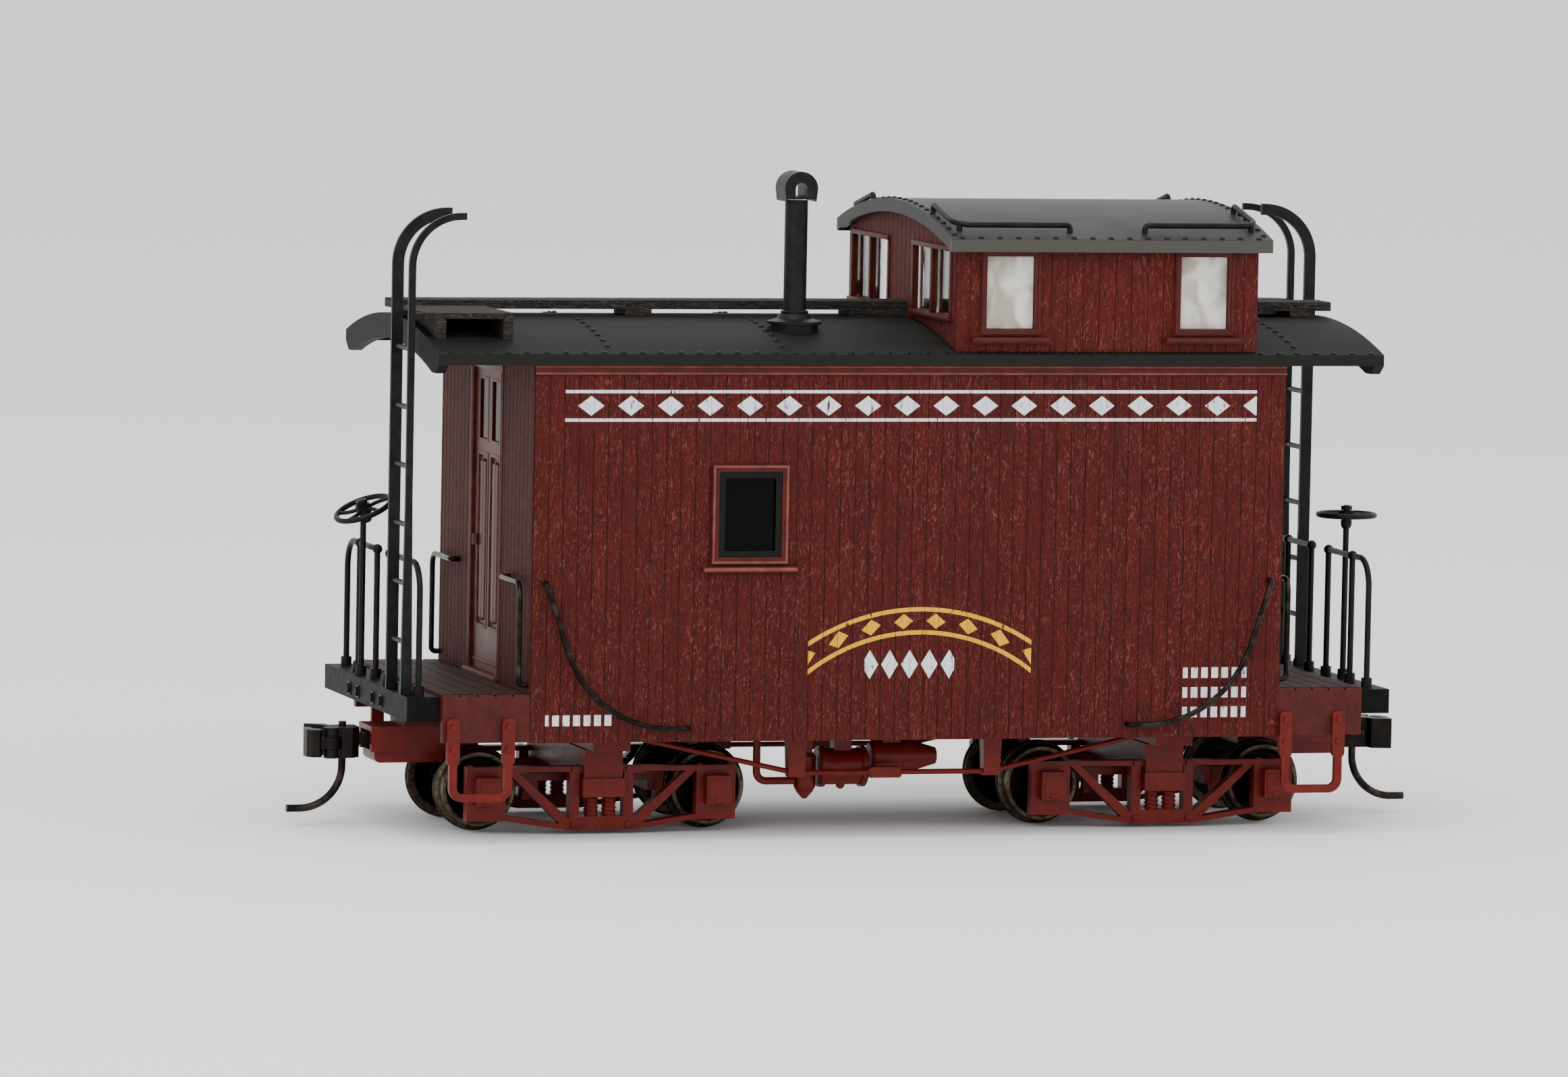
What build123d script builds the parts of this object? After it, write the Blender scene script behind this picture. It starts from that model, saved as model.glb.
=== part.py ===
from build123d import *
import os
from math import sqrt

# Model caboose, an end-platform car with a cupola, on two archbar trucks.
# Millimetres. X runs along the car, Z is up from the lowest point of the wheel flanges.
# The origin is midway along and across the car, at the bottom of the flanges.
# The two ends are the same thing turned half a turn about Z, unless a comment says otherwise.

# ---- fits -----------------------------------------------------------------------------------
seat_gap = 0.05
panel_gap = 0.1
running_gap = 0.06
floor_gap = 0.2
swing_gap = 0.15

# ---- wheels and track -----------------------------------------------------------------------
flange_radius = 5.6
tread_radius = 4.95
tread_taper = 0.1
wheel_back = 7.2
wheel_width = 2.8
flange_width = 0.8
hub_radius = 1.9
hub_proud = 0.2
rim_inner_radius = 4.1
dish_depth = 1.0
axle_radius = 1.0
journal_radius = 0.6
journal_end = 12.9
axle_z = flange_radius

# ---- trucks ---------------------------------------------------------------------------------
truck_inset = 12.5
wheelbase = 31.0
frame_inner = 12.4
frame_thick = 1.8
lid_proud = 1.6
archbar_height = 0.7
top_bar_z = 8.6
arch_bottom_z = 0.9
journal_box_width = 5.3
journal_box_height = 6.3
journal_box_bottom = 2.2
lid_width = 3.3
lid_height = 3.7
lid_bottom = 4.0
column_in = 3.0
column_width = 1.3
bolster_width = 5.2
bolster_bottom = 7.4
bolster_top = 11.2
bolster_end = 15.0
spring_radius = 0.85
spring_pitch = 2.4
spring_bottom = 2.7
spring_top = 5.0
plank_height = 1.45
kingpin_radius = 0.9
kingpin_head_radius = 1.8
kingpin_head_height = 0.8
shoe_gap = 0.45
shoe_thick = 1.1
shoe_low = 4.2
shoe_high = 7.6
shoe_y = 9.0

# ---- body -----------------------------------------------------------------------------------
body_length = 102.0
body_width = 48.8
body_bottom = 13.1
body_wall = 1.6
board_pitch = 1.96
board_groove = 0.14
board_trim = 1.1
letterboard_bottom = 60.83
letterboard_height = 1.25
letterboard_proud = 0.4

side_window_x = -22.0
side_window_z = 42.68
sash_width = 8.4
sash_height = 11.0
sash_bar = 0.8
sash_thick = 1.2
trim_bar = 1.0
trim_proud = 0.45
sill_height = 0.75
sill_overhang = 1.25
sill_proud = 1.0
sill_drop = 0.25
glass_thick = 0.6

door_width = 14.6
door_bottom = 19.55
door_top = 59.9
door_thick = 1.0
door_recess = 0.3
door_pane_width = 4.6
door_pane_bottom = 50.3
door_pane_top = 58.7
door_pane_y = 3.2
door_panel_bottom = 26.1
door_panel_top = 48.4
door_panel_depth = 0.3

# ---- roof -----------------------------------------------------------------------------------
roof_overhang = 13.2
roof_side_overhang = 1.2
roof_crown = 67.2
roof_rise = 3.66
roof_thick = 1.1
eave_depth = 1.44
eave_thick = 0.95
fascia_thick = 1.3
fascia_crown = 63.9
fascia_lip = 60.95
fascia_lip_inset = 3.6

# ---- running boards -------------------------------------------------------------------------
board_width = 5.8
board_top = 69.1
board_thick = 1.1
board_overhang = 0.3
plank_groove = 0.25
cleat_length = 3.6
cleat_by_cupola = 7.8
landing_overhang = 0.5
landing_length = 11.8
landing_near = 3.4
landing_past_ladder = 0.5
landing_top = 68.4
landing_thick = 0.7
landing_leg = 1.3

# ---- cupola ---------------------------------------------------------------------------------
cupola_x = 26.0
cupola_length = 41.4
cupola_side_step = 0.2
cupola_wall = 1.5
cupola_eave = 77.0
cupola_end_overhang = 1.35
cupola_side_overhang = 2.04
cupola_crown = 82.6
cupola_roof_rise = 3.93
cupola_roof_thick = 1.1
cupola_eave_depth = 1.67
cupola_fascia_thick = 0.9
cupola_fascia_depth = 1.8
cupola_window_x = 13.3
cupola_window_width = 6.6
cupola_window_height = 9.5
cupola_window_bottom = 66.85
cupola_end_in = 6.0
cupola_end_margin = 2.2
cupola_end_bottom = 68.4
cupola_end_top = 76.8
cupola_post = 0.9
cupola_board_pitch = 2.21
cupola_trim_bar = 0.8

grab_radius = 0.38
grab_inset = 1.3
grab_length = 15.6
grab_reach = 10.2
grab_eave_inset = 2.6
grab_lift = 1.0
grab_bend = 2.4

# ---- smokejack ------------------------------------------------------------------------------
smoke_x = -13.5
smoke_y = -14.0
smoke_radius = 1.5
smoke_top = 83.0
hood_radius = 2.25
hood_length = 4.6
hood_spring_z = 84.55
hood_hole = 0.78
hood_hole_floor = 83.5
hood_skirt = 82.9
collar_radius = 3.6
collar_top = 68.2
collar_step = 67.2

# ---- platforms ------------------------------------------------------------------------------
platform_length = 11.6
deck_top = 19.4
deck_thick = 1.4
platform_bottom = 13.2
side_beam = 1.2
cross_beam = 1.4
draft_sill_width = 8.0
draft_sill_bottom = 13.3
plank_pitch = 2.32
end_sill_thick = 4.4
end_sill_inset = 1.5
end_sill_bottom = 15.85
end_sill_top = 19.05
bolt_radius = 0.7
bolt_height = 0.4
bolt_pairs_y = (4.15, 8.75)
bolt_z = 17.2

# ---- ironwork on the ends -------------------------------------------------------------------
ladder_inset = 0.7
ladder_y = 15.3
ladder_width = 7.8
ladder_bar = 0.9
ladder_flat = 0.6
ladder_root = 1.5
ladder_taper_top = 44.0
ladder_top = 80.9
ladder_hook = 7.1
ladder_bend = 6.5
rung_radius = 0.35
rung_first = 25.75
rung_pitch = 7.6
rung_count = 6
ladder_foot = 1.5
ladder_foot_height = 0.8
ladder_stay = 0.6
rail_out = 2.2
rail_radius = 0.4
rail_top = 36.0
rail_gate_y = 3.5
rail_post_y = 13.2
rail_corner_inset = 2.9
rail_bend = 3.6
rail_knob = 0.66
socket_radius = 0.72
socket_height = 1.25
brake_out = 3.2
brake_y = -7.5
brake_wheel_z = 41.0
staff_radius = 0.4
brake_wheel_radius = 3.75
brake_rim_radius = 0.36
brake_hub_radius = 1.0
brake_hub_height = 1.2
brake_spoke_radius = 0.26
brake_spokes = 5
left_wheel_tilt = (10.0, -22.0, 0.0)

wire_radius = 0.36
wire_standoff = 1.35
wire_bend = 0.6
grab_high_z = 33.8
grab_low_z = 14.9
side_grab_inset = 1.7
side_grab_drop = 6.2
side_grab_run = 19.3
grab_sweep = 15.0
end_grab_top = 33.8
end_grab_bottom = 20.6
end_grab_in = 13.4
end_grab_margin = 1.0
end_grab_bend = 1.6

step_inset = 0.8
step_inset_other = 2.8
step_width = 8.4
step_bottom = 5.6
step_bar = 1.05
step_thick = 0.75
step_tab_width = 1.7
step_tab_top = 16.4
step_tab_bottom = 10.3
step_bend = 1.3
step_bolt = 0.42

# ---- underframe -----------------------------------------------------------------------------
floor_bottom = 14.0
floor_thick = 2.0
weight_length = 60.0
weight_width = 30.0
weight_thick = 2.0
centre_sill_width = 6.4
centre_sill_bottom = 12.2
body_bolster_width = 5.0
body_bolster_half = 19.0
truss_y = 18.0
truss_z = 8.2
truss_radius = 0.35
truss_end_z = 13.2
queen_x = 13.35
queen_width = 2.2
queen_depth = 2.0
queen_bottom = 7.7
turnbuckle_x = -1.2
turnbuckle_length = 4.6
turnbuckle_size = 1.4
gear_y = -14.0
cylinder_x = -6.0
cylinder_length = 6.6
cylinder_radius = 2.4
cylinder_z = 8.6
drain_radius = 0.6
reservoir_from = -2.2
reservoir_shoulder = 3.5
reservoir_to = 6.9
reservoir_radius = 2.1
reservoir_nose = 1.1
reservoir_z = 9.9
valve_x = -10.9
valve_radius = 1.45
valve_top = 10.5
valve_cone_top = 6.0
valve_tip = 4.4
hanger_width = 2.4
pipe_radius = 0.5
pipe_x = -17.6
pipe_y = -14.4
pipe_low = 6.8
pipe_bend = 1.3

# ---- couplers -------------------------------------------------------------------------------
draft_box_inset = 0.1
draft_box_width = 7.2
draft_box_bottom = 9.95
draft_box_roof = 0.7
draft_cavity_back = 3.0
draft_cavity_width = 5.2
pivot_inset = 6.4
pivot_radius = 1.0
cover_back = 4.5
cover_inset = 0.5
cover_width = 6.4
cover_thick = 1.45
cover_round = 0.8
screw_radius = 0.5
screw_head_radius = 0.95
screw_head_height = 0.5
shank_eye = 2.0
shank_width = 2.6
shank_low = 10.7
shank_high = 12.2
head_out = 1.2
head_low = 9.1
head_high = 13.1
lug_thick = 1.2
knuckle_pin_out = 3.9
knuckle_pin_y = 2.2
knuckle_pin_radius = 0.45
knuckle_lug_radius = 1.0
trip_forward = 1.9
trip_radius = 0.5
trip_top = 13.7
trip_reach = 9.3
trip_low = 2.3
trip_bend = 5.6

# ---- derived --------------------------------------------------------------------------------
half_body = body_length / 2
half_width = body_width / 2
inner_length = body_length - 2 * body_wall
inner_width = body_width - 2 * body_wall
floor_top = floor_bottom + floor_thick
platform_out = half_body + platform_length
end_sill_out = platform_out + end_sill_thick
end_sill_width = body_width - 2 * end_sill_inset
truck_centre = half_body - truck_inset
roof_length = body_length + 2 * roof_overhang
roof_width = body_width + 2 * roof_side_overhang
fascia_lip_y = roof_width / 2 - fascia_lip_inset
board_end = roof_length / 2 + board_overhang
landing_out = roof_length / 2 + landing_overhang
landing_in = landing_out - landing_length
landing_far = ladder_y + ladder_width / 2 + landing_past_ladder
cupola_width = body_width + 2 * cupola_side_step
cupola_roof_length = cupola_length + 2 * cupola_end_overhang
cupola_roof_width = cupola_width + 2 * cupola_side_overhang
cupola_end_out = cupola_width / 2 - cupola_end_margin
ladder_x = end_sill_out - ladder_inset
ladder_tip = ladder_x - ladder_hook
rail_x = platform_out + rail_out
rail_corner_y = end_sill_width / 2 - rail_corner_inset
brake_x = platform_out + brake_out
grab_out_x = half_body - side_grab_inset
grab_knee_x = grab_out_x - side_grab_drop
grab_in_x = grab_out_x - side_grab_run
end_grab_out = half_width - end_grab_margin
step_out = platform_out - step_inset
step_out_other = platform_out - step_inset_other
draft_box_out = end_sill_out - draft_box_inset
coupler_pivot = draft_box_out - pivot_inset
draft_cavity_in = coupler_pivot - draft_cavity_back
cover_in = coupler_pivot - cover_back
cover_out = draft_box_out - cover_inset
head_x = draft_box_out + head_out
knuckle_pin_x = head_x + knuckle_pin_out
trip_x = head_x + trip_forward
trip_out = head_x + trip_reach
deck_bottom = deck_top - deck_thick
wheel_face = wheel_back + wheel_width
frame_outer = frame_inner + frame_thick
body_bolster_bottom = bolster_top + swing_gap
half_base = wheelbase / 2
half_cupola = cupola_length / 2
draft_box_in = half_body + cross_beam + panel_gap
sill_end = inner_length / 2 - floor_gap


def arc_radius(width, rise):
    return (width**2 / 4 + rise**2) / (2 * rise)


def arc_height(y, width, crown, rise, drop=0.0):
    radius = arc_radius(width, rise)
    return crown - radius + sqrt((radius - drop) ** 2 - y**2)


def roof_height(y, drop=0.0):
    return arc_height(y, roof_width, roof_crown, roof_rise, drop)


def cupola_roof_height(y, drop=0.0):
    return arc_height(y, cupola_roof_width, cupola_crown, cupola_roof_rise, drop)


def save(piece, name):
    piece.part.label = name
    export_step(piece.part, f"parts/{name}.step")


def turned(part):
    return part.rotate(Axis.Z, 180)


def both_ends(part):
    with BuildPart() as pair:
        add(part)
        add(turned(part))
    return pair


def under_arc(height, half_span, length, bottom, drop, centre_x=0.0):
    """Everything below an arched roof line, as a long prism along X."""
    with BuildPart() as prism:
        with BuildSketch(Plane.YZ.offset(centre_x)):
            with BuildLine():
                ThreePointArc(
                    (-half_span, height(half_span, drop)),
                    (0, height(0, drop)),
                    (half_span, height(half_span, drop)),
                )
                Polyline(
                    (half_span, height(half_span, drop)),
                    (half_span, bottom),
                    (-half_span, bottom),
                    (-half_span, height(half_span, drop)),
                )
            make_face()
        extrude(amount=length / 2, both=True)
    return prism.part


def bent_rod(points, radius, bends):
    """A round rod along straight runs joined by tangent arcs."""
    with BuildPart() as rod:
        with BuildLine() as path:
            FilletPolyline(*points, radius=bends)
        with BuildSketch(Plane(origin=path.line @ 0, z_dir=path.line % 0)):
            Circle(radius)
        sweep()
    return rod.part


def block(x_range, y_range, z_range):
    """A box between two values on each axis."""
    with BuildPart() as box:
        with Locations((sum(x_range) / 2, sum(y_range) / 2, sum(z_range) / 2)):
            Box(
                x_range[1] - x_range[0],
                y_range[1] - y_range[0],
                z_range[1] - z_range[0],
            )
    return box.part


def post(x, y, z_range, radius):
    """An upright round post."""
    with BuildPart() as cylinder:
        with BuildSketch(Plane.XY.offset(z_range[0])):
            with Locations((x, y)):
                Circle(radius)
        extrude(amount=z_range[1] - z_range[0])
    return cylinder.part


os.makedirs("parts", exist_ok=True)

# ---- body shell -----------------------------------------------------------------------------
def window_surround(x, z, width, height, face, bar):
    """Raised frame and sill round a window on the side wall, at y = -face."""
    with BuildPart() as surround:
        add(
            block(
                (x - width / 2 - bar, x + width / 2 + bar),
                (-face - trim_proud, -face),
                (z - height / 2 - bar, z + height / 2 + bar),
            )
        )
        lip = z - height / 2 - bar - sill_drop
        half = width / 2 + bar + sill_overhang
        add(block((x - half, x + half), (-face - sill_proud, -face), (lip - sill_height, lip)))
    return surround.part


def board_grooves(centre_x, length, pitch, face, z_range):
    """Cutters for the joints between upright boards, on the walls at y = face and y = -face."""
    low, high = z_range
    with BuildPart() as cutters:
        last = int(length / pitch / 2)
        for index in range(-last, last + 1):
            for side in (-1, 1):
                with Locations((centre_x + index * pitch, side * face, low)):
                    Box(
                        board_groove,
                        2 * board_groove,
                        high - low,
                        align=(Align.CENTER, Align.CENTER, Align.MIN),
                    )
    return cutters.part


door_casing = block(
    (half_body - 2 * board_groove, half_body + board_groove),
    (-door_width / 2 - board_trim, door_width / 2 + board_trim),
    (door_bottom - panel_gap, door_top + board_trim),
)
with BuildPart() as body_shell:
    add(
        under_arc(
            roof_height,
            half_width,
            body_length,
            body_bottom,
            roof_thick + seat_gap,
        )
    )
    add(
        board_grooves(0, inner_length, board_pitch, half_width, (body_bottom, letterboard_bottom)),
        mode=Mode.SUBTRACT,
    )
    end_grooves = board_grooves(
        0, inner_width, board_pitch, half_body, (body_bottom, door_top + panel_gap)
    )
    add(end_grooves.rotate(Axis.Z, 90), mode=Mode.SUBTRACT)
    add(door_casing)
    add(turned(door_casing))
    cladding = window_surround(
        side_window_x, side_window_z, sash_width, sash_height, half_width, trim_bar
    )
    letterboard = block(
        (-half_body, half_body),
        (-half_width - letterboard_proud, -half_width),
        (letterboard_bottom, letterboard_bottom + letterboard_height),
    )
    for extra in (cladding, letterboard):
        add(extra)
        add(turned(extra))
    add(
        block(
            (-inner_length / 2, inner_length / 2),
            (-inner_width / 2, inner_width / 2),
            (body_bottom - 1, roof_crown),
        ),
        mode=Mode.SUBTRACT,
    )
    window_hole = block(
        (
            side_window_x - sash_width / 2 - seat_gap,
            side_window_x + sash_width / 2 + seat_gap,
        ),
        (-half_width - 2 * sill_proud, -inner_width / 2 + 1),
        (
            side_window_z - sash_height / 2 - seat_gap,
            side_window_z + sash_height / 2 + seat_gap,
        ),
    )
    door_hole = block(
        (inner_length / 2 - 1, half_body + 1),
        (-door_width / 2 - panel_gap, door_width / 2 + panel_gap),
        (door_bottom - panel_gap, door_top + panel_gap),
    )
    for hole in (window_hole, door_hole):
        add(hole, mode=Mode.SUBTRACT)
        add(turned(hole), mode=Mode.SUBTRACT)
save(body_shell, "body_shell")

# ---- side windows ---------------------------------------------------------------------------
sash_face = half_width + trim_proud - 0.15
with BuildPart() as one_sash:
    add(
        block(
            (side_window_x - sash_width / 2, side_window_x + sash_width / 2),
            (-sash_face, -sash_face + sash_thick),
            (side_window_z - sash_height / 2, side_window_z + sash_height / 2),
        )
    )
    add(
        block(
            (
                side_window_x - sash_width / 2 + sash_bar,
                side_window_x + sash_width / 2 - sash_bar,
            ),
            (-sash_face - 1, -sash_face + sash_thick + 1),
            (
                side_window_z - sash_height / 2 + sash_bar,
                side_window_z + sash_height / 2 - sash_bar,
            ),
        ),
        mode=Mode.SUBTRACT,
    )
side_window_sashes = both_ends(one_sash.part)
save(side_window_sashes, "side_window_sashes")

# ---- end doors ------------------------------------------------------------------------------
door_face = half_body - door_recess
with BuildPart() as one_door:
    add(
        block(
            (door_face - door_thick, door_face),
            (-door_width / 2, door_width / 2),
            (door_bottom, door_top),
        )
    )
    for side in (-1, 1):
        pane_y = (
            side * door_pane_y - door_pane_width / 2,
            side * door_pane_y + door_pane_width / 2,
        )
        add(
            block(
                (door_face - door_thick - 1, door_face + 1),
                pane_y,
                (door_pane_bottom, door_pane_top),
            ),
            mode=Mode.SUBTRACT,
        )
        add(
            block(
                (door_face - door_panel_depth, door_face + 1),
                pane_y,
                (door_panel_bottom, door_panel_top),
            ),
            mode=Mode.SUBTRACT,
        )
    add(post(door_face + 0.3, -door_width / 2 + 1.6, (36.4, 37.8), 0.45))
end_doors = both_ends(one_door.part)
save(end_doors, "end_doors")

# ---- glazing of the body: two side windows and two panes in each end door --------------------
with BuildPart() as window_glazing:
    side_pane = block(
        (
            side_window_x - sash_width / 2 + sash_bar + seat_gap,
            side_window_x + sash_width / 2 - sash_bar - seat_gap,
        ),
        (-sash_face + 0.5, -sash_face + 0.5 + glass_thick),
        (
            side_window_z - sash_height / 2 + sash_bar + seat_gap,
            side_window_z + sash_height / 2 - sash_bar - seat_gap,
        ),
    )
    panes = [side_pane]
    for side in (-1, 1):
        panes.append(
            block(
                (door_face - 0.8, door_face - 0.8 + glass_thick),
                (
                    side * door_pane_y - door_pane_width / 2 + seat_gap,
                    side * door_pane_y + door_pane_width / 2 - seat_gap,
                ),
                (door_pane_bottom + seat_gap, door_pane_top - seat_gap),
            )
        )
    for pane in panes:
        add(pane)
        add(turned(pane))
save(window_glazing, "window_glazing")

# ---- floor and weight -----------------------------------------------------------------------
with BuildPart() as floor_pan:
    with BuildSketch(Plane.XY.offset(floor_bottom)):
        Rectangle(inner_length - 2 * floor_gap, inner_width - 2 * floor_gap)
    extrude(amount=floor_thick)
save(floor_pan, "floor_pan")

with BuildPart() as ballast_weight:
    with BuildSketch(Plane.XY.offset(floor_top)):
        RectangleRounded(weight_length, weight_width, 2)
    extrude(amount=weight_thick)
save(ballast_weight, "ballast_weight")


# ---- roofs ----------------------------------------------------------------------------------
def arched_roof(height, width, rise, thick, depth, length, centre_x):
    """A sheet roof of arched section with an eave strip down each side."""
    half = width / 2
    inner = half - eave_thick
    eave_top = height(half)
    with BuildPart() as sheet:
        with BuildSketch(Plane.YZ.offset(centre_x)):
            with BuildLine():
                ThreePointArc((-half, eave_top), (0, height(0)), (half, eave_top))
                Line((half, eave_top), (half, eave_top - depth))
                Line((half, eave_top - depth), (inner, eave_top - depth))
                Line((inner, eave_top - depth), (inner, height(inner, thick)))
                ThreePointArc(
                    (inner, height(inner, thick)),
                    (0, height(0, thick)),
                    (-inner, height(inner, thick)),
                )
                Line((-inner, height(inner, thick)), (-inner, eave_top - depth))
                Line((-inner, eave_top - depth), (-half, eave_top - depth))
                Line((-half, eave_top - depth), (-half, eave_top))
            make_face()
        extrude(amount=length / 2, both=True)
    return sheet.part


with BuildPart() as main_roof:
    add(arched_roof(roof_height, roof_width, roof_rise, roof_thick, eave_depth, roof_length, 0))
    half_roof = roof_width / 2
    eave_bottom = roof_height(half_roof) - eave_depth
    fascia_base = roof_length / 2 - fascia_thick
    with BuildPart(mode=Mode.PRIVATE) as fascia:
        with BuildSketch(Plane.YZ.offset(fascia_base)):
            with BuildLine():
                ThreePointArc(
                    (-half_roof, roof_height(half_roof)),
                    (0, roof_crown),
                    (half_roof, roof_height(half_roof)),
                )
                Polyline(
                    (half_roof, roof_height(half_roof)),
                    (half_roof, eave_bottom),
                    (fascia_lip_y + 2, fascia_lip),
                    (fascia_lip_y, fascia_lip),
                )
                ThreePointArc(
                    (fascia_lip_y, fascia_lip), (0, fascia_crown), (-fascia_lip_y, fascia_lip)
                )
                Polyline(
                    (-fascia_lip_y, fascia_lip),
                    (-fascia_lip_y - 2, fascia_lip),
                    (-half_roof, eave_bottom),
                    (-half_roof, roof_height(half_roof)),
                )
            make_face()
        extrude(amount=fascia_thick)
    add(fascia.part)
    add(turned(fascia.part))
    well_margin = cupola_wall + 0.5
    add(
        block(
            (cupola_x - half_cupola + well_margin, cupola_x + half_cupola - well_margin),
            (-cupola_width / 2 + well_margin, cupola_width / 2 - well_margin),
            (fascia_lip, roof_crown + 1),
        ),
        mode=Mode.SUBTRACT,
    )
save(main_roof, "main_roof")

cupola_low_x = cupola_x - cupola_roof_length / 2
with BuildPart() as cupola_roof:
    add(
        arched_roof(
            cupola_roof_height,
            cupola_roof_width,
            cupola_roof_rise,
            cupola_roof_thick,
            cupola_eave_depth,
            cupola_roof_length,
            cupola_x,
        )
    )
    half_span = cupola_roof_width / 2
    for start in (cupola_low_x, cupola_low_x + cupola_roof_length - cupola_fascia_thick):
        with BuildSketch(Plane.YZ.offset(start)):
            with BuildLine():
                ThreePointArc(
                    (-half_span, cupola_roof_height(half_span)),
                    (0, cupola_crown),
                    (half_span, cupola_roof_height(half_span)),
                )
                Line(
                    (half_span, cupola_roof_height(half_span)),
                    (half_span, cupola_roof_height(half_span) - cupola_eave_depth),
                )
                ThreePointArc(
                    (half_span, cupola_roof_height(half_span) - cupola_eave_depth),
                    (0, cupola_crown - cupola_fascia_depth),
                    (-half_span, cupola_roof_height(half_span) - cupola_eave_depth),
                )
                Line(
                    (-half_span, cupola_roof_height(half_span) - cupola_eave_depth),
                    (-half_span, cupola_roof_height(half_span)),
                )
            make_face()
        extrude(amount=cupola_fascia_thick)
save(cupola_roof, "cupola_roof")

# ---- cupola walls ---------------------------------------------------------------------------
cupola_window_z = cupola_window_bottom + cupola_window_height / 2
half_cupola_width = cupola_width / 2
end_pane_width = (cupola_end_out - cupola_end_in - cupola_post) / 2
end_pane_height = cupola_end_top - cupola_end_bottom
end_pane_z = (cupola_end_top + cupola_end_bottom) / 2
end_pane_ys = [
    side * y
    for side in (-1, 1)
    for y in (cupola_end_in + end_pane_width / 2, cupola_end_out - end_pane_width / 2)
]
side_pane_xs = (cupola_x - cupola_window_x, cupola_x + cupola_window_x)
with BuildPart() as cupola_walls:
    add(
        under_arc(
            cupola_roof_height,
            half_cupola_width,
            cupola_length,
            fascia_lip,
            cupola_roof_thick + seat_gap,
            cupola_x,
        )
    )
    add(
        board_grooves(
            cupola_x + cupola_board_pitch / 2,
            cupola_length - 2 * cupola_board_pitch,
            cupola_board_pitch,
            half_cupola_width,
            (fascia_lip, cupola_eave),
        ),
        mode=Mode.SUBTRACT,
    )
    for x in side_pane_xs:
        surround = window_surround(
            x,
            cupola_window_z,
            cupola_window_width,
            cupola_window_height,
            half_cupola_width,
            cupola_trim_bar,
        )
        add(surround)
        add(surround.mirror(Plane.XZ))
    add(
        block(
            (cupola_x - half_cupola + cupola_wall, cupola_x + half_cupola - cupola_wall),
            (-half_cupola_width + cupola_wall, half_cupola_width - cupola_wall),
            (fascia_lip - 1, cupola_crown),
        ),
        mode=Mode.SUBTRACT,
    )
    add(
        under_arc(
            roof_height,
            half_cupola_width + sill_proud + 1,
            roof_length,
            fascia_lip - 2,
            -seat_gap,
        ),
        mode=Mode.SUBTRACT,
    )
    for x in side_pane_xs:
        with Locations((x, 0, cupola_window_z)):
            Box(
                cupola_window_width,
                cupola_width + 4,
                cupola_window_height,
                mode=Mode.SUBTRACT,
            )
    for y in end_pane_ys:
        with Locations((cupola_x, y, end_pane_z)):
            Box(
                cupola_length + 4,
                end_pane_width,
                end_pane_height,
                mode=Mode.SUBTRACT,
            )
save(cupola_walls, "cupola_walls")

with BuildPart() as cupola_glazing:
    glass_y = half_cupola_width - cupola_wall / 2
    for x in side_pane_xs:
        for side in (-1, 1):
            with Locations((x, side * glass_y, cupola_window_z)):
                Box(
                    cupola_window_width - 2 * seat_gap,
                    glass_thick,
                    cupola_window_height - 2 * seat_gap,
                )
    glass_x = half_cupola - cupola_wall / 2
    for y in end_pane_ys:
        for side in (-1, 1):
            with Locations((cupola_x + side * glass_x, y, end_pane_z)):
                Box(
                    glass_thick,
                    end_pane_width - 2 * seat_gap,
                    end_pane_height - 2 * seat_gap,
                )
save(cupola_glazing, "cupola_glazing")

# ---- grab irons on the cupola roof: along the eave, then up the slope beside the end ----------
grab_y = cupola_roof_width / 2 - grab_eave_inset
grab_top_y = grab_y - grab_reach
grab_corner = cupola_roof_length / 2 - grab_inset
eave_line = cupola_roof_height(grab_y)
slope_top = cupola_roof_height(grab_top_y)
leg = grab_bend * (1 - sqrt(0.5))
with BuildPart() as one_grab:
    for x, y, foot in (
        (grab_corner - grab_length, grab_y, eave_line),
        (grab_corner, grab_top_y, slope_top),
    ):
        add(post(x, y, (foot - 1, foot + 0.4), grab_radius))
    add(post(grab_corner - leg, grab_y - leg, (eave_line - 1, eave_line + grab_lift), grab_radius))
    add(
        under_arc(
            cupola_roof_height,
            cupola_roof_width / 2,
            cupola_roof_length,
            cupola_eave - 4,
            -0.02,
        ),
        mode=Mode.SUBTRACT,
    )
    add(
        bent_rod(
            [
                (grab_corner - grab_length, grab_y, eave_line + 0.2),
                (grab_corner - grab_length, grab_y, eave_line + grab_lift),
                (grab_corner, grab_y, eave_line + grab_lift),
                (grab_corner, grab_top_y, slope_top + grab_lift),
                (grab_corner, grab_top_y, slope_top + 0.2),
            ],
            grab_radius,
            [grab_lift / 2, grab_bend, grab_lift / 2],
        )
    )
with BuildPart() as cupola_grab_irons:
    corner = one_grab.part
    for iron in (corner, corner.mirror(Plane.XZ), corner.mirror(Plane.YZ), turned(corner)):
        add(iron.translate((cupola_x, 0, 0)))
save(cupola_grab_irons, "cupola_grab_irons")

# ---- running boards, each one solid with its cleats -------------------------------------------
roof_prism = under_arc(
    roof_height, roof_width / 2, roof_length + 4, fascia_lip - 4, -seat_gap / 2
)
board_bottom = board_top - board_thick
cupola_faces = (
    cupola_x - half_cupola - panel_gap,
    cupola_x + half_cupola + panel_gap,
)


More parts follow.
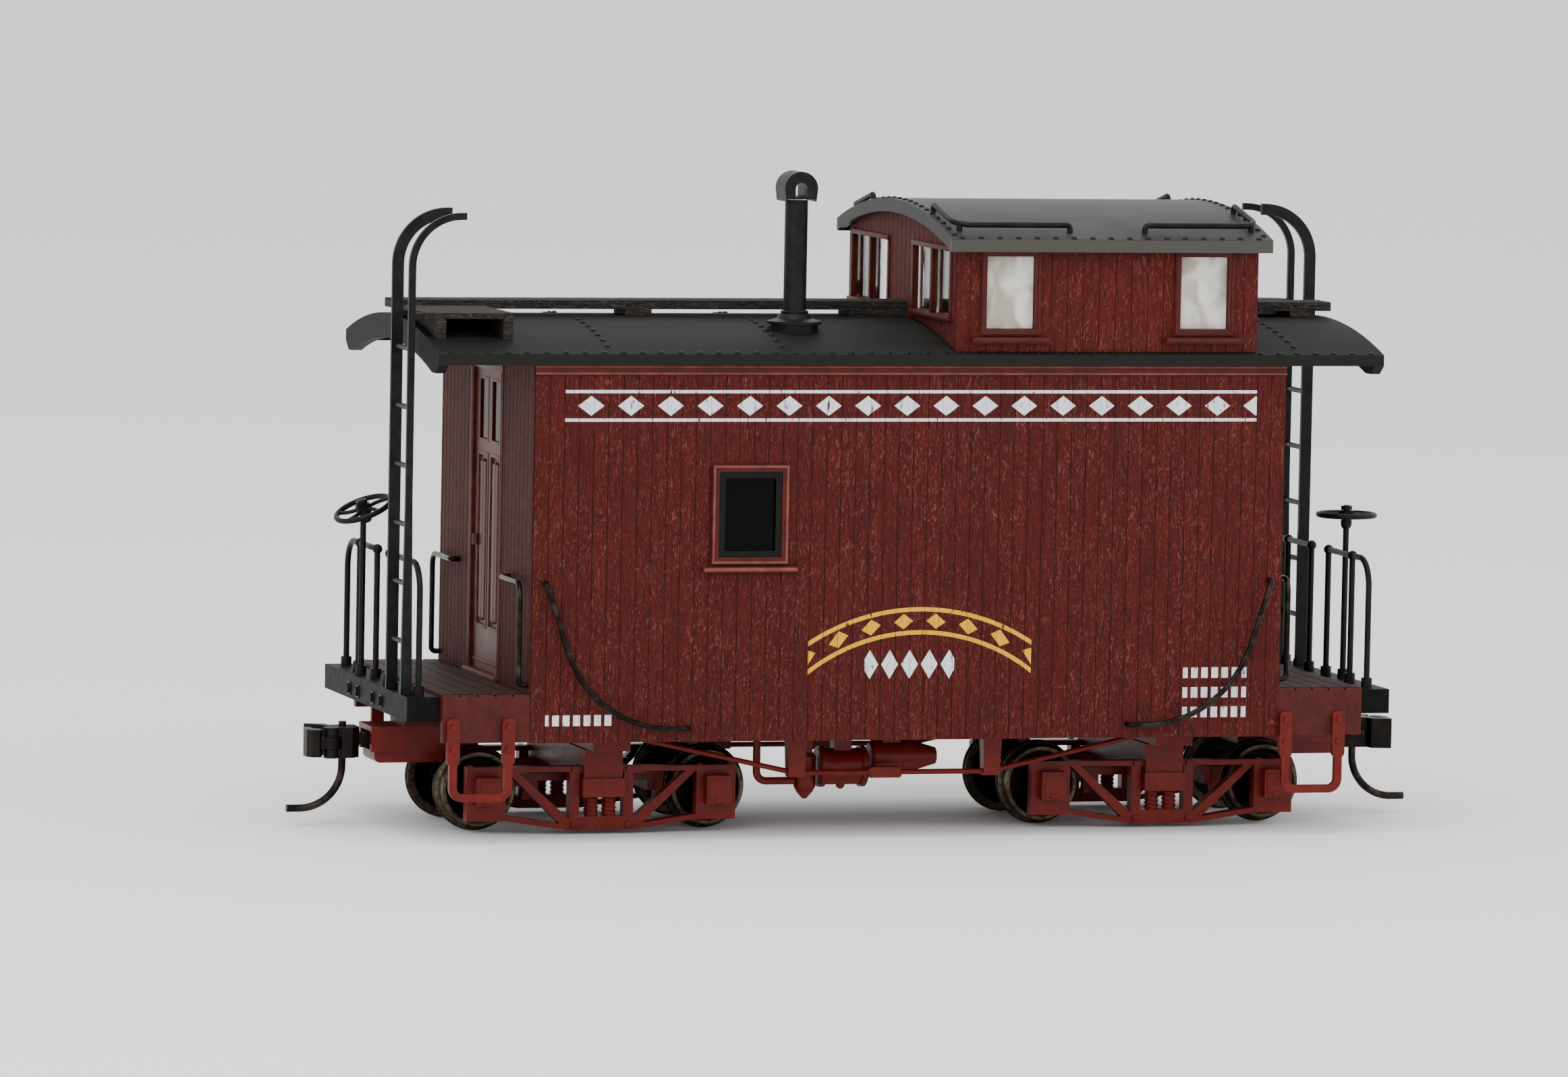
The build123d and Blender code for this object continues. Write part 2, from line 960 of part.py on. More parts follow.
def running_board(x_from, x_to, cleats):
    """Three planks side by side on cleats that follow the roof."""
    with BuildPart() as board:
        add(block((x_from, x_to), (-board_width / 2, board_width / 2), (board_bottom, board_top)))
        for x, length in cleats:
            add(
                block(
                    (x - length / 2, x + length / 2),
                    (-board_width / 2, board_width / 2),
                    (roof_crown - 1, board_bottom),
                )
            )
        for y in (-board_width / 6, board_width / 6):
            add(
                block(
                    (x_from - 1, x_to + 1),
                    (y - plank_groove / 2, y + plank_groove / 2),
                    (board_top - plank_groove, board_top + 1),
                ),
                mode=Mode.SUBTRACT,
            )
        add(roof_prism, mode=Mode.SUBTRACT)
    return board.part


with BuildPart() as running_boards:
    add(
        running_board(
            -board_end,
            cupola_faces[0],
            (
                (-board_end + 4, cleat_length),
                (-half_body * 0.62, cleat_length),
                (cupola_faces[0] - cleat_by_cupola / 2, cleat_by_cupola),
            ),
        )
    )
    add(
        running_board(
            cupola_faces[1],
            board_end,
            ((cupola_faces[1] + 3, cleat_length), (board_end - 4, cleat_length)),
        )
    )
save(running_boards, "running_boards")

# ---- ladder landings beside the running board -------------------------------------------------
with BuildPart() as one_landing:
    add(
        block(
            (landing_in, landing_out),
            (landing_near, landing_far),
            (landing_top - landing_thick, landing_top),
        )
    )
    for x in (landing_in, landing_out - 1.6 - landing_leg):
        add(
            block(
                (x, x + landing_leg),
                (landing_near, landing_far),
                (roof_height(landing_far) - 1, landing_top - landing_thick),
            )
        )
    add(roof_prism, mode=Mode.SUBTRACT)
ladder_landings = both_ends(one_landing.part)
save(ladder_landings, "ladder_landings")

# ---- smokejack ------------------------------------------------------------------------------
with BuildPart() as smokejack_pipe:
    add(post(smoke_x, smoke_y, (roof_height(smoke_y) - 2, smoke_top), smoke_radius))
    add(roof_prism, mode=Mode.SUBTRACT)
save(smokejack_pipe, "smokejack_pipe")

with BuildPart() as smokejack_collar:
    with BuildSketch(Plane(origin=(smoke_x, smoke_y, 0), x_dir=(1, 0, 0), z_dir=(0, -1, 0))):
        with BuildLine():
            Polyline(
                (smoke_radius + 0.03, collar_step - 3),
                (collar_radius - 0.5, collar_step - 3),
                (collar_radius - 0.5, collar_step - 0.35),
                (collar_radius, collar_step - 0.35),
                (collar_radius, collar_step),
                (smoke_radius + 0.9, collar_step + 0.35),
                (smoke_radius + 0.45, collar_top),
                (smoke_radius + 0.03, collar_top),
                close=True,
            )
        make_face()
    revolve(axis=Axis((smoke_x, smoke_y, 0), (0, 0, 1)))
    add(roof_prism, mode=Mode.SUBTRACT)
save(smokejack_collar, "smokejack_collar")

with BuildPart() as smokejack_hood:
    hood_plane = Plane(
        origin=(smoke_x, smoke_y - hood_length / 2, 0), x_dir=(1, 0, 0), z_dir=(0, -1, 0)
    )
    with BuildSketch(hood_plane):
        with BuildLine():
            ThreePointArc(
                (hood_radius, hood_spring_z),
                (0, hood_spring_z + hood_radius),
                (-hood_radius, hood_spring_z),
            )
            Polyline(
                (-hood_radius, hood_spring_z),
                (-hood_radius + 0.2, hood_skirt),
                (-smoke_radius - 0.3, hood_skirt + 0.3),
                (smoke_radius + 0.3, hood_skirt + 0.3),
                (hood_radius - 0.2, hood_skirt),
                (hood_radius, hood_spring_z),
            )
        make_face()
        with BuildLine():
            ThreePointArc(
                (hood_hole, hood_hole_floor + 1.1),
                (0, hood_hole_floor + 1.1 + hood_hole),
                (-hood_hole, hood_hole_floor + 1.1),
            )
            Polyline(
                (-hood_hole, hood_hole_floor + 1.1),
                (-hood_hole, hood_hole_floor),
                (hood_hole, hood_hole_floor),
                (hood_hole, hood_hole_floor + 1.1),
            )
        make_face(mode=Mode.SUBTRACT)
    extrude(amount=-hood_length)
    add(
        post(smoke_x, smoke_y, (hood_skirt - 1, smoke_top + seat_gap), smoke_radius + 0.03),
        mode=Mode.SUBTRACT,
    )
save(smokejack_hood, "smokejack_hood")

# ---- end platforms --------------------------------------------------------------------------
with BuildPart() as one_platform:
    add(block((half_body, platform_out), (-half_width, half_width), (deck_bottom, deck_top)))
    for side in (-1, 1):
        edge = sorted((side * half_width, side * (half_width - side_beam)))
        add(block((half_body, platform_out), edge, (platform_bottom, deck_bottom)))
    add(
        block(
            (half_body, half_body + cross_beam),
            (-half_width, half_width),
            (platform_bottom, deck_bottom),
        )
    )
    add(
        block(
            (platform_out - cross_beam, platform_out),
            (-half_width, half_width),
            (end_sill_bottom, deck_bottom),
        )
    )
    add(
        block(
            (half_body, platform_out),
            (-draft_sill_width / 2, draft_sill_width / 2),
            (draft_sill_bottom, deck_bottom),
        )
    )
    for index in range(1, int(platform_length / plank_pitch) + 1):
        groove_x = half_body + index * plank_pitch
        if groove_x < platform_out - plank_groove:
            with Locations((groove_x, 0, deck_top)):
                Box(plank_groove, body_width + 1, 2 * plank_groove, mode=Mode.SUBTRACT)
left_platform_part = turned(one_platform.part)
save(one_platform, "right_platform")
with BuildPart() as left_platform:
    add(left_platform_part)
save(left_platform, "left_platform")

with BuildPart() as one_end_sill:
    add(
        block(
            (platform_out, end_sill_out),
            (-end_sill_width / 2, end_sill_width / 2),
            (end_sill_bottom, end_sill_top),
        )
    )
    with BuildSketch(Plane.YZ.offset(end_sill_out)):
        with Locations([(side * y, bolt_z) for side in (-1, 1) for y in bolt_pairs_y]):
            RegularPolygon(bolt_radius, 6)
    extrude(amount=bolt_height)
end_sills = both_ends(one_end_sill.part)
save(end_sills, "end_sills")

# ---- ladders, one at each end -----------------------------------------------------------------
with BuildPart() as right_ladder:
    for side in (-1, 1):
        y = ladder_y + side * ladder_width / 2
        with BuildLine() as rail_path:
            FilletPolyline(
                (ladder_x, y, end_sill_top),
                (ladder_x, y, ladder_top),
                (ladder_tip, y, ladder_top),
                radius=ladder_bend,
            )
        with BuildSketch(Plane.XY.offset(end_sill_top)):
            with Locations((ladder_x, y)):
                Rectangle(ladder_bar, ladder_flat)
        sweep(path=rail_path.line)
        with BuildSketch(Plane.XY.offset(end_sill_top)) as root:
            with Locations((ladder_x, y)):
                Rectangle(ladder_root, ladder_flat)
        with BuildSketch(Plane.XY.offset(ladder_taper_top)) as slim:
            with Locations((ladder_x, y)):
                Rectangle(ladder_bar, ladder_flat)
        loft(sections=[root.sketch, slim.sketch])
        add(
            block(
                (ladder_x - ladder_foot / 2, ladder_x + ladder_foot / 2 - 0.3),
                (y - ladder_foot / 2, y + ladder_foot / 2),
                (end_sill_top, end_sill_top + ladder_foot_height),
            )
        )
        add(
            block(
                (landing_out + seat_gap, ladder_x),
                (y - ladder_stay / 2, y + ladder_stay / 2),
                (landing_top - landing_thick, landing_top),
            )
        )
    for index in range(rung_count):
        with Locations((ladder_x, ladder_y, rung_first + index * rung_pitch)):
            Cylinder(rung_radius, ladder_width, rotation=(90, 0, 0))
with BuildPart() as left_ladder:
    add(turned(right_ladder.part))
save(right_ladder, "right_ladder")
save(left_ladder, "left_ladder")

# ---- platform railings, two halves at each end with a gap for the walkway ---------------------
with BuildPart() as right_railing:
    for side in (-1, 1):
        add(
            bent_rod(
                [
                    (rail_x, side * rail_corner_y, end_sill_top),
                    (rail_x, side * rail_corner_y, rail_top),
                    (rail_x, side * rail_gate_y, rail_top),
                ],
                rail_radius,
                rail_bend,
            )
        )
        for y in (rail_gate_y, rail_post_y):
            add(post(rail_x, side * y, (end_sill_top, rail_top), rail_radius))
            with Locations((rail_x, side * y, rail_top)):
                Sphere(rail_knob)
        for y in (rail_gate_y, rail_post_y, rail_corner_y):
            add(
                post(
                    rail_x,
                    side * y,
                    (end_sill_top, end_sill_top + socket_height),
                    socket_radius,
                )
            )
with BuildPart() as left_railing:
    add(turned(right_railing.part))
save(right_railing, "right_railing")
save(left_railing, "left_railing")

# ---- hand brakes ----------------------------------------------------------------------------
hub_half = brake_hub_height / 2
right_hub = Location((brake_x, brake_y, brake_wheel_z))
left_hub = Location((-brake_x, -brake_y, brake_wheel_z), left_wheel_tilt)
shoulder = hub_half + 0.1


def brake_staff(x, y, hub):
    """An upright staff whose top pin carries the wheel between a shoulder and a nut."""
    with BuildPart() as staff:
        add(post(x, y, (end_sill_top, brake_wheel_z - shoulder - 0.7), staff_radius))
        add(post(x, y, (end_sill_top, end_sill_top + socket_height), socket_radius))
        with Locations(hub):
            Cylinder(
                staff_radius,
                2 * shoulder + 1.2,
                align=(Align.CENTER, Align.CENTER, Align.CENTER),
            )
            with Locations((0, 0, -shoulder - 0.25), (0, 0, shoulder + 0.25)):
                Cylinder(0.75, 0.5)
            with Locations((0, 0, -shoulder - 0.6)):
                Sphere(0.72)
    return staff.part


with BuildPart() as brake_staffs:
    add(brake_staff(brake_x, brake_y, right_hub))
    add(brake_staff(-brake_x, -brake_y, left_hub))
save(brake_staffs, "brake_staffs")

with BuildPart() as brake_wheel:
    Torus(brake_wheel_radius, brake_rim_radius)
    Cylinder(brake_hub_radius, brake_hub_height)
    middle = (brake_hub_radius + brake_wheel_radius) / 2
    with BuildPart(mode=Mode.PRIVATE) as spoke:
        with BuildLine() as curve:
            ThreePointArc(
                (brake_hub_radius - 0.3, 0),
                (middle, 0.45),
                (brake_wheel_radius, 0),
            )
        with BuildSketch(Plane(origin=curve.line @ 0, z_dir=curve.line % 0)):
            Circle(brake_spoke_radius)
        sweep()
    for index in range(brake_spokes):
        add(spoke.part.rotate(Axis.Z, index * 360 / brake_spokes))
    Cylinder(staff_radius + running_gap, 4 * brake_hub_height, mode=Mode.SUBTRACT)
with BuildPart() as right_brake_wheel:
    add(brake_wheel.part.moved(right_hub))
with BuildPart() as left_brake_wheel:
    add(brake_wheel.part.moved(left_hub))
save(right_brake_wheel, "right_brake_wheel")
save(left_brake_wheel, "left_brake_wheel")

# ---- hand rails of bent wire ------------------------------------------------------------------
rail_face = half_width + wire_standoff
with BuildPart() as side_handrails:
    side_wire = bent_rod(
        [
            (-grab_out_x, -half_width, grab_high_z),
            (-grab_out_x, -rail_face, grab_high_z),
            (-grab_knee_x, -rail_face, grab_low_z),
            (-grab_in_x, -rail_face, grab_low_z),
            (-grab_in_x, -half_width, grab_low_z),
        ],
        wire_radius,
        [wire_bend, grab_sweep, wire_bend],
    )
    side_pair = (side_wire, side_wire.mirror(Plane.YZ))
    for wire in side_pair:
        add(wire)
        add(turned(wire))
save(side_handrails, "side_handrails")

end_face = half_body + wire_standoff
with BuildPart() as end_handrails:
    end_wire = bent_rod(
        [
            (half_body, end_grab_in, end_grab_top),
            (end_face, end_grab_in, end_grab_top),
            (end_face, end_grab_out, end_grab_top),
            (end_face, end_grab_out, end_grab_bottom),
            (half_body, end_grab_out, end_grab_bottom),
        ],
        wire_radius,
        [wire_bend, end_grab_bend, wire_bend],
    )
    for wire in (end_wire, end_wire.mirror(Plane.XZ)):
        add(wire)
        add(turned(wire))
save(end_handrails, "end_handrails")


# ---- step stirrups --------------------------------------------------------------------------
def step_stirrup(x_out):
    """A strap step on the near face of the platform beam, x_out being its outer edge."""
    x_in = x_out - step_width
    y_centre = -half_width - step_thick / 2
    with BuildPart() as step:
        with BuildLine() as path:
            FilletPolyline(
                (x_in + step_bar / 2, y_centre, step_tab_bottom + 0.5),
                (x_in + step_bar / 2, y_centre, step_bottom + step_bar / 2),
                (x_out - step_bar / 2, y_centre, step_bottom + step_bar / 2),
                (x_out - step_bar / 2, y_centre, step_tab_bottom + 0.5),
                radius=step_bend,
            )
        with BuildSketch(Plane.XY.offset(step_tab_bottom + 0.5)):
            with Locations((x_in + step_bar / 2, y_centre)):
                Rectangle(step_bar, step_thick)
        sweep(path=path.line)
        for x in (x_in + step_bar / 2, x_out - step_bar / 2):
            tab_height = step_tab_top - step_tab_bottom
            with BuildSketch(Plane.XZ.offset(half_width)):
                with Locations((x, step_tab_bottom + tab_height / 2)):
                    RectangleRounded(step_tab_width, tab_height, 0.6)
            extrude(amount=step_thick)
            with BuildSketch(Plane.XZ.offset(half_width + step_thick)):
                with Locations((x, step_tab_top - 1.1), (x, step_tab_top - 4)):
                    Circle(step_bolt)
            extrude(amount=0.25)
    return step.part


with BuildPart() as step_stirrups:
    for stirrup in (step_stirrup(step_out_other), step_stirrup(-step_out + step_width)):
        add(stirrup)
        add(turned(stirrup))
save(step_stirrups, "step_stirrups")

# ---- sills and bolsters under the floor -------------------------------------------------------
sill_half = centre_sill_width / 2
kingpin_holes = [(-truck_centre, 0), (truck_centre, 0)]
with BuildPart() as centre_sill:
    add(
        block(
            (-sill_end, sill_end),
            (-sill_half, sill_half),
            (centre_sill_bottom, floor_bottom),
        )
    )
    with BuildSketch(Plane.XY.offset(centre_sill_bottom - 1)):
        with Locations(kingpin_holes):
            Circle(kingpin_radius)
    extrude(amount=floor_bottom - centre_sill_bottom + 2, mode=Mode.SUBTRACT)
save(centre_sill, "centre_sill")

with BuildPart() as body_bolsters:
    for x in (-truck_centre, truck_centre):
        add(
            block(
                (x - body_bolster_width / 2, x + body_bolster_width / 2),
                (-body_bolster_half, body_bolster_half),
                (body_bolster_bottom, floor_bottom),
            )
        )
    add(
        block(
            (-half_body, half_body),
            (-sill_half - seat_gap, sill_half + seat_gap),
            (centre_sill_bottom, floor_bottom + 1),
        ),
        mode=Mode.SUBTRACT,
    )
    with BuildSketch(Plane.XY.offset(body_bolster_bottom - 1)):
        with Locations(kingpin_holes):
            Circle(kingpin_radius)
    extrude(amount=3, mode=Mode.SUBTRACT)
save(body_bolsters, "body_bolsters")

with BuildPart() as kingpin_screws:
    head_top = bolster_bottom - panel_gap
    for x, y in kingpin_holes:
        add(post(x, y, (head_top, floor_bottom), kingpin_radius))
        add(post(x, y, (head_top - kingpin_head_height, head_top), kingpin_head_radius))
        add(
            block(
                (x - kingpin_head_radius, x + kingpin_head_radius),
                (-0.2, 0.2),
                (head_top - kingpin_head_height, head_top - kingpin_head_height / 2),
            ),
            mode=Mode.SUBTRACT,
        )
save(kingpin_screws, "kingpin_screws")

# ---- truss rods, queen posts and turnbuckles ----------------------------------------------------
truss_end_x = truck_centre - body_bolster_width / 2


def truss_rod(side, radius):
    """A rod from bolster to bolster, hung below the floor between the queen posts."""
    return bent_rod(
        [
            (-truss_end_x, side * truss_y, truss_end_z),
            (-queen_x, side * truss_y, truss_z),
            (queen_x, side * truss_y, truss_z),
            (truss_end_x, side * truss_y, truss_end_z),
        ],
        radius,
        1.5,
    )


with BuildPart() as truss_rods:
    for side in (-1, 1):
        add(truss_rod(side, truss_radius))
    for side in (-1, 1):
        for end in (-1, 1):
            edge = sorted((end * truss_end_x, end * (truss_end_x + 1)))
            add(
                block(edge, (side * truss_y - 1, side * truss_y + 1), (12, floor_bottom)),
                mode=Mode.SUBTRACT,
            )
save(truss_rods, "truss_rods")

with BuildPart() as queen_posts:
    for side in (-1, 1):
        for end in (-1, 1):
            with BuildSketch(Plane.XY.offset(queen_bottom)) as foot:
                with Locations((end * queen_x, side * truss_y)):
                    Rectangle(queen_width, queen_depth * 0.8)
            with BuildSketch(Plane.XY.offset(floor_bottom)) as top:
                with Locations((end * queen_x, side * truss_y)):
                    Rectangle(queen_width * 1.2, queen_depth)
            loft(sections=[foot.sketch, top.sketch])
    for side in (-1, 1):
        add(truss_rod(side, truss_radius + seat_gap), mode=Mode.SUBTRACT)
save(queen_posts, "queen_posts")

with BuildPart() as turnbuckles:
    for side in (-1, 1):
        x = -side * turnbuckle_x
        with BuildPart(mode=Mode.PRIVATE) as buckle:
            Box(turnbuckle_length, turnbuckle_size, turnbuckle_size)
            chamfer(buckle.faces().filter_by(Axis.X).edges(), 0.3)
            Box(turnbuckle_length / 2, turnbuckle_size * 0.4, 9, mode=Mode.SUBTRACT)
            Cylinder(
                truss_radius + seat_gap,
                turnbuckle_length + 2,
                rotation=(0, 90, 0),
                mode=Mode.SUBTRACT,
            )
        add(buckle.part.translate((x, side * truss_y, truss_z)))
save(turnbuckles, "turnbuckles")

# ---- air brake gear -------------------------------------------------------------------------
with BuildPart() as brake_cylinder:
    with Locations((cylinder_x, gear_y, cylinder_z)):
        Cylinder(cylinder_radius, cylinder_length, rotation=(0, 90, 0))
        with Locations((-cylinder_length / 2 + 0.5, 0, 0), (cylinder_length / 2 - 0.5, 0, 0)):
            Cylinder(cylinder_radius + 0.3, 0.7, rotation=(0, 90, 0))
    add(
        block(
            (cylinder_x - hanger_width / 2, cylinder_x + hanger_width / 2),
            (gear_y - 1, gear_y + 1),
            (cylinder_z, floor_bottom),
        )
    )
    with Locations((cylinder_x, gear_y, cylinder_z - cylinder_radius)):
        Sphere(drain_radius)
save(brake_cylinder, "brake_cylinder")

with BuildPart() as air_reservoir:
    with BuildSketch(Plane.XZ.offset(-gear_y)):
        with BuildLine():
            Polyline(
                (reservoir_from, reservoir_z),
                (reservoir_from, reservoir_z + reservoir_radius - 0.4),
                (reservoir_from + 0.4, reservoir_z + reservoir_radius),
                (reservoir_shoulder, reservoir_z + reservoir_radius),
                (reservoir_to, reservoir_z + reservoir_nose),
                (reservoir_to, reservoir_z),
                close=True,
            )
        make_face()
    revolve(axis=Axis((0, gear_y, reservoir_z), (1, 0, 0)))
    reservoir_mid = (reservoir_from + reservoir_shoulder) / 2
    add(
        block(
            (reservoir_mid - hanger_width / 2, reservoir_mid + hanger_width / 2),
            (gear_y - 1, gear_y + 1),
            (reservoir_z, floor_bottom),
        )
    )
save(air_reservoir, "air_reservoir")

with BuildPart() as triple_valve:
    with BuildSketch(Plane.XZ.offset(-gear_y)):
        with BuildLine():
            Polyline(
                (valve_x, valve_top),
                (valve_x, valve_tip),
                (valve_x + 0.3, valve_tip),
                (valve_x + valve_radius * 0.75, valve_cone_top - 0.7),
                (valve_x + valve_radius, valve_cone_top),
                (valve_x + valve_radius, valve_top - 0.5),
                (valve_x + valve_radius - 0.4, valve_top),
                close=True,
            )
        make_face()
    revolve(axis=Axis((valve_x, gear_y, 0), (0, 0, 1)))
    add(
        block(
            (valve_x - 0.8, valve_x + 0.8),
            (gear_y - 0.8, gear_y + 0.8),
            (valve_top - 0.5, floor_bottom),
        )
    )
save(triple_valve, "triple_valve")

with BuildPart() as air_pipe:
    add(
        bent_rod(
            [
                (pipe_x, pipe_y, floor_bottom),
                (pipe_x, pipe_y, pipe_low),
                (valve_x - valve_radius - panel_gap, pipe_y, pipe_low),
            ],
            pipe_radius,
            pipe_bend,
        )
    )
save(air_pipe, "air_pipe")

# ---- draft boxes, covers and screws ---------------------------------------------------------
cavity_top = draft_sill_bottom - draft_box_roof
with BuildPart() as right_draft_box:
    add(
        block(
            (draft_box_in, draft_box_out),
            (-draft_box_width / 2, draft_box_width / 2),
            (draft_box_bottom, draft_sill_bottom),
        )
    )
    add(
        block(
            (draft_cavity_in, draft_box_out + 1),
            (-draft_cavity_width / 2, draft_cavity_width / 2),
            (draft_box_bottom - 1, cavity_top),
        ),
        mode=Mode.SUBTRACT,
    )
    add(post(coupler_pivot, 0, (draft_box_bottom, cavity_top), pivot_radius))
    add(post(coupler_pivot, 0, (draft_box_bottom - 1, cavity_top), screw_radius), mode=Mode.SUBTRACT)
with BuildPart() as left_draft_box:
    add(turned(right_draft_box.part))
save(right_draft_box, "right_draft_box")
save(left_draft_box, "left_draft_box")

cover_bottom = draft_box_bottom - cover_thick
with BuildPart() as one_cover:
    add(
        block(
            (cover_in, cover_out),
            (-cover_width / 2, cover_width / 2),
            (cover_bottom, draft_box_bottom),
        )
    )
    fillet(
        one_cover.edges().filter_by(Axis.Y).group_by(Axis.Z)[0].sort_by(Axis.X)[-1],
        cover_round,
    )
    with Locations(Location((coupler_pivot, 0, cover_bottom), (180, 0, 0))):
        CounterBoreHole(screw_radius, screw_head_radius, screw_head_height)
draft_box_covers = both_ends(one_cover.part)
save(draft_box_covers, "draft_box_covers")

with BuildPart() as one_screw:
    add(post(coupler_pivot, 0, (cover_bottom, cavity_top - 0.4), screw_radius))
    add(
        post(
            coupler_pivot,
            0,
            (cover_bottom, cover_bottom + screw_head_height),
            screw_head_radius,
        )
    )
    add(
        block(
            (coupler_pivot - 1, coupler_pivot + 1),
            (-0.12, 0.12),
            (cover_bottom, cover_bottom + 0.25),
        ),
        mode=Mode.SUBTRACT,
    )
cover_screws = both_ends(one_screw.part)
save(cover_screws, "cover_screws")

# ---- couplers -------------------------------------------------------------------------------
head_outline = [
    (head_x, -1.5),
    (head_x + 1.1, -1.6),
    (head_x + 3.4, -1.6),
    (head_x + 3.6, -3.0),
    (head_x + 6.2, -3.7),
    (head_x + 6.4, -3.0),
    (head_x + 4.3, -1.3),
    (head_x + 3.9, 0.9),
    (head_x + 2.6, 2.6),
    (head_x + 1.1, 2.6),
    (head_x, 1.5),
]
knuckle_outline = [
    (knuckle_pin_x + 1.3, knuckle_pin_y + 0.55),
    (knuckle_pin_x + 1.85, knuckle_pin_y + 1.35),
    (knuckle_pin_x + 2.8, knuckle_pin_y + 1.1),
    (knuckle_pin_x + 3.3, knuckle_pin_y + 0.2),
    (knuckle_pin_x + 3.4, knuckle_pin_y - 1.4),
    (knuckle_pin_x + 3.0, knuckle_pin_y - 3.1),
    (knuckle_pin_x + 2.1, knuckle_pin_y - 3.1),
    (knuckle_pin_x + 2.3, knuckle_pin_y - 1.5),
    (knuckle_pin_x + 1.5, knuckle_pin_y - 0.5),
    (knuckle_pin_x + 1.3, knuckle_pin_y - 0.2),
]
lug_low = head_low + lug_thick
lug_high = head_high - lug_thick
with BuildPart() as right_coupler:
    with BuildSketch(Plane.XY.offset(head_low)):
        with BuildLine():
            Polyline(*head_outline, close=True)
        make_face()
        with Locations((knuckle_pin_x, knuckle_pin_y)):
            Circle(knuckle_lug_radius)
        with Locations((knuckle_pin_x - 1.2, knuckle_pin_y - 0.6)):
            Rectangle(2.0, 1.8)
    extrude(amount=head_high - head_low)
    with BuildSketch(Plane.XY.offset(lug_low)):
        with Locations((knuckle_pin_x, knuckle_pin_y)):
            Circle(knuckle_lug_radius + 0.4)
    extrude(amount=lug_high - lug_low, mode=Mode.SUBTRACT)
    add(
        post(
            knuckle_pin_x,
            knuckle_pin_y,
            (head_low, head_high),
            knuckle_pin_radius,
        )
    )
    add(
        block(
            (coupler_pivot, head_x + 0.5),
            (-shank_width / 2, shank_width / 2),
            (shank_low, shank_high),
        )
    )
    add(post(coupler_pivot, 0, (shank_low, shank_high), shank_eye))
    add(
        post(
            coupler_pivot,
            0,
            (shank_low - 1, shank_high + 1),
            pivot_radius + running_gap,
        ),
        mode=Mode.SUBTRACT,
    )
    add(post(trip_x, 0, (head_low - 1, head_high + 1), trip_radius), mode=Mode.SUBTRACT)
with BuildPart() as left_coupler:
    add(turned(right_coupler.part))
save(right_coupler, "right_coupler_head")
save(left_coupler, "left_coupler_head")

with BuildPart() as right_knuckle:
    with BuildSketch(Plane.XY.offset(head_low + 0.2)):
        with BuildLine():
            Polyline(*knuckle_outline, close=True)
        make_face()
        with Locations((knuckle_pin_x, knuckle_pin_y)):
            Circle(knuckle_lug_radius + swing_gap, mode=Mode.SUBTRACT)
    extrude(amount=head_high - head_low - 0.4)
    with BuildSketch(Plane.XY.offset(lug_low + running_gap)):
        with Locations((knuckle_pin_x, knuckle_pin_y)):
            Circle(knuckle_lug_radius + 0.2)
        with Locations((knuckle_pin_x + 1.0, knuckle_pin_y + 0.35)):
            Rectangle(1.2, 1.3)
    extrude(amount=lug_high - lug_low - 2 * running_gap)
    add(
        post(
            knuckle_pin_x,
            knuckle_pin_y,
            (head_low - 1, head_high + 1),
            knuckle_pin_radius + running_gap,
        ),
        mode=Mode.SUBTRACT,
    )
with BuildPart() as left_knuckle:
    add(turned(right_knuckle.part))
save(right_knuckle, "right_knuckle")
save(left_knuckle, "left_knuckle")

with BuildPart() as right_trip_pin:
    add(
        bent_rod(
            [(trip_x, 0, trip_top), (trip_x, 0, trip_low), (trip_out, 0, trip_low)],
            trip_radius,
            trip_bend,
        )
    )
with BuildPart() as left_trip_pin:
    add(turned(right_trip_pin.part))
save(right_trip_pin, "right_trip_pin")
save(left_trip_pin, "left_trip_pin")

# ---- trucks ---------------------------------------------------------------------------------
lid_y = frame_outer + lid_proud
box_out = half_base + journal_box_width / 2
box_in = half_base - journal_box_width / 2
box_top = journal_box_bottom + journal_box_height
column_out = column_in + column_width


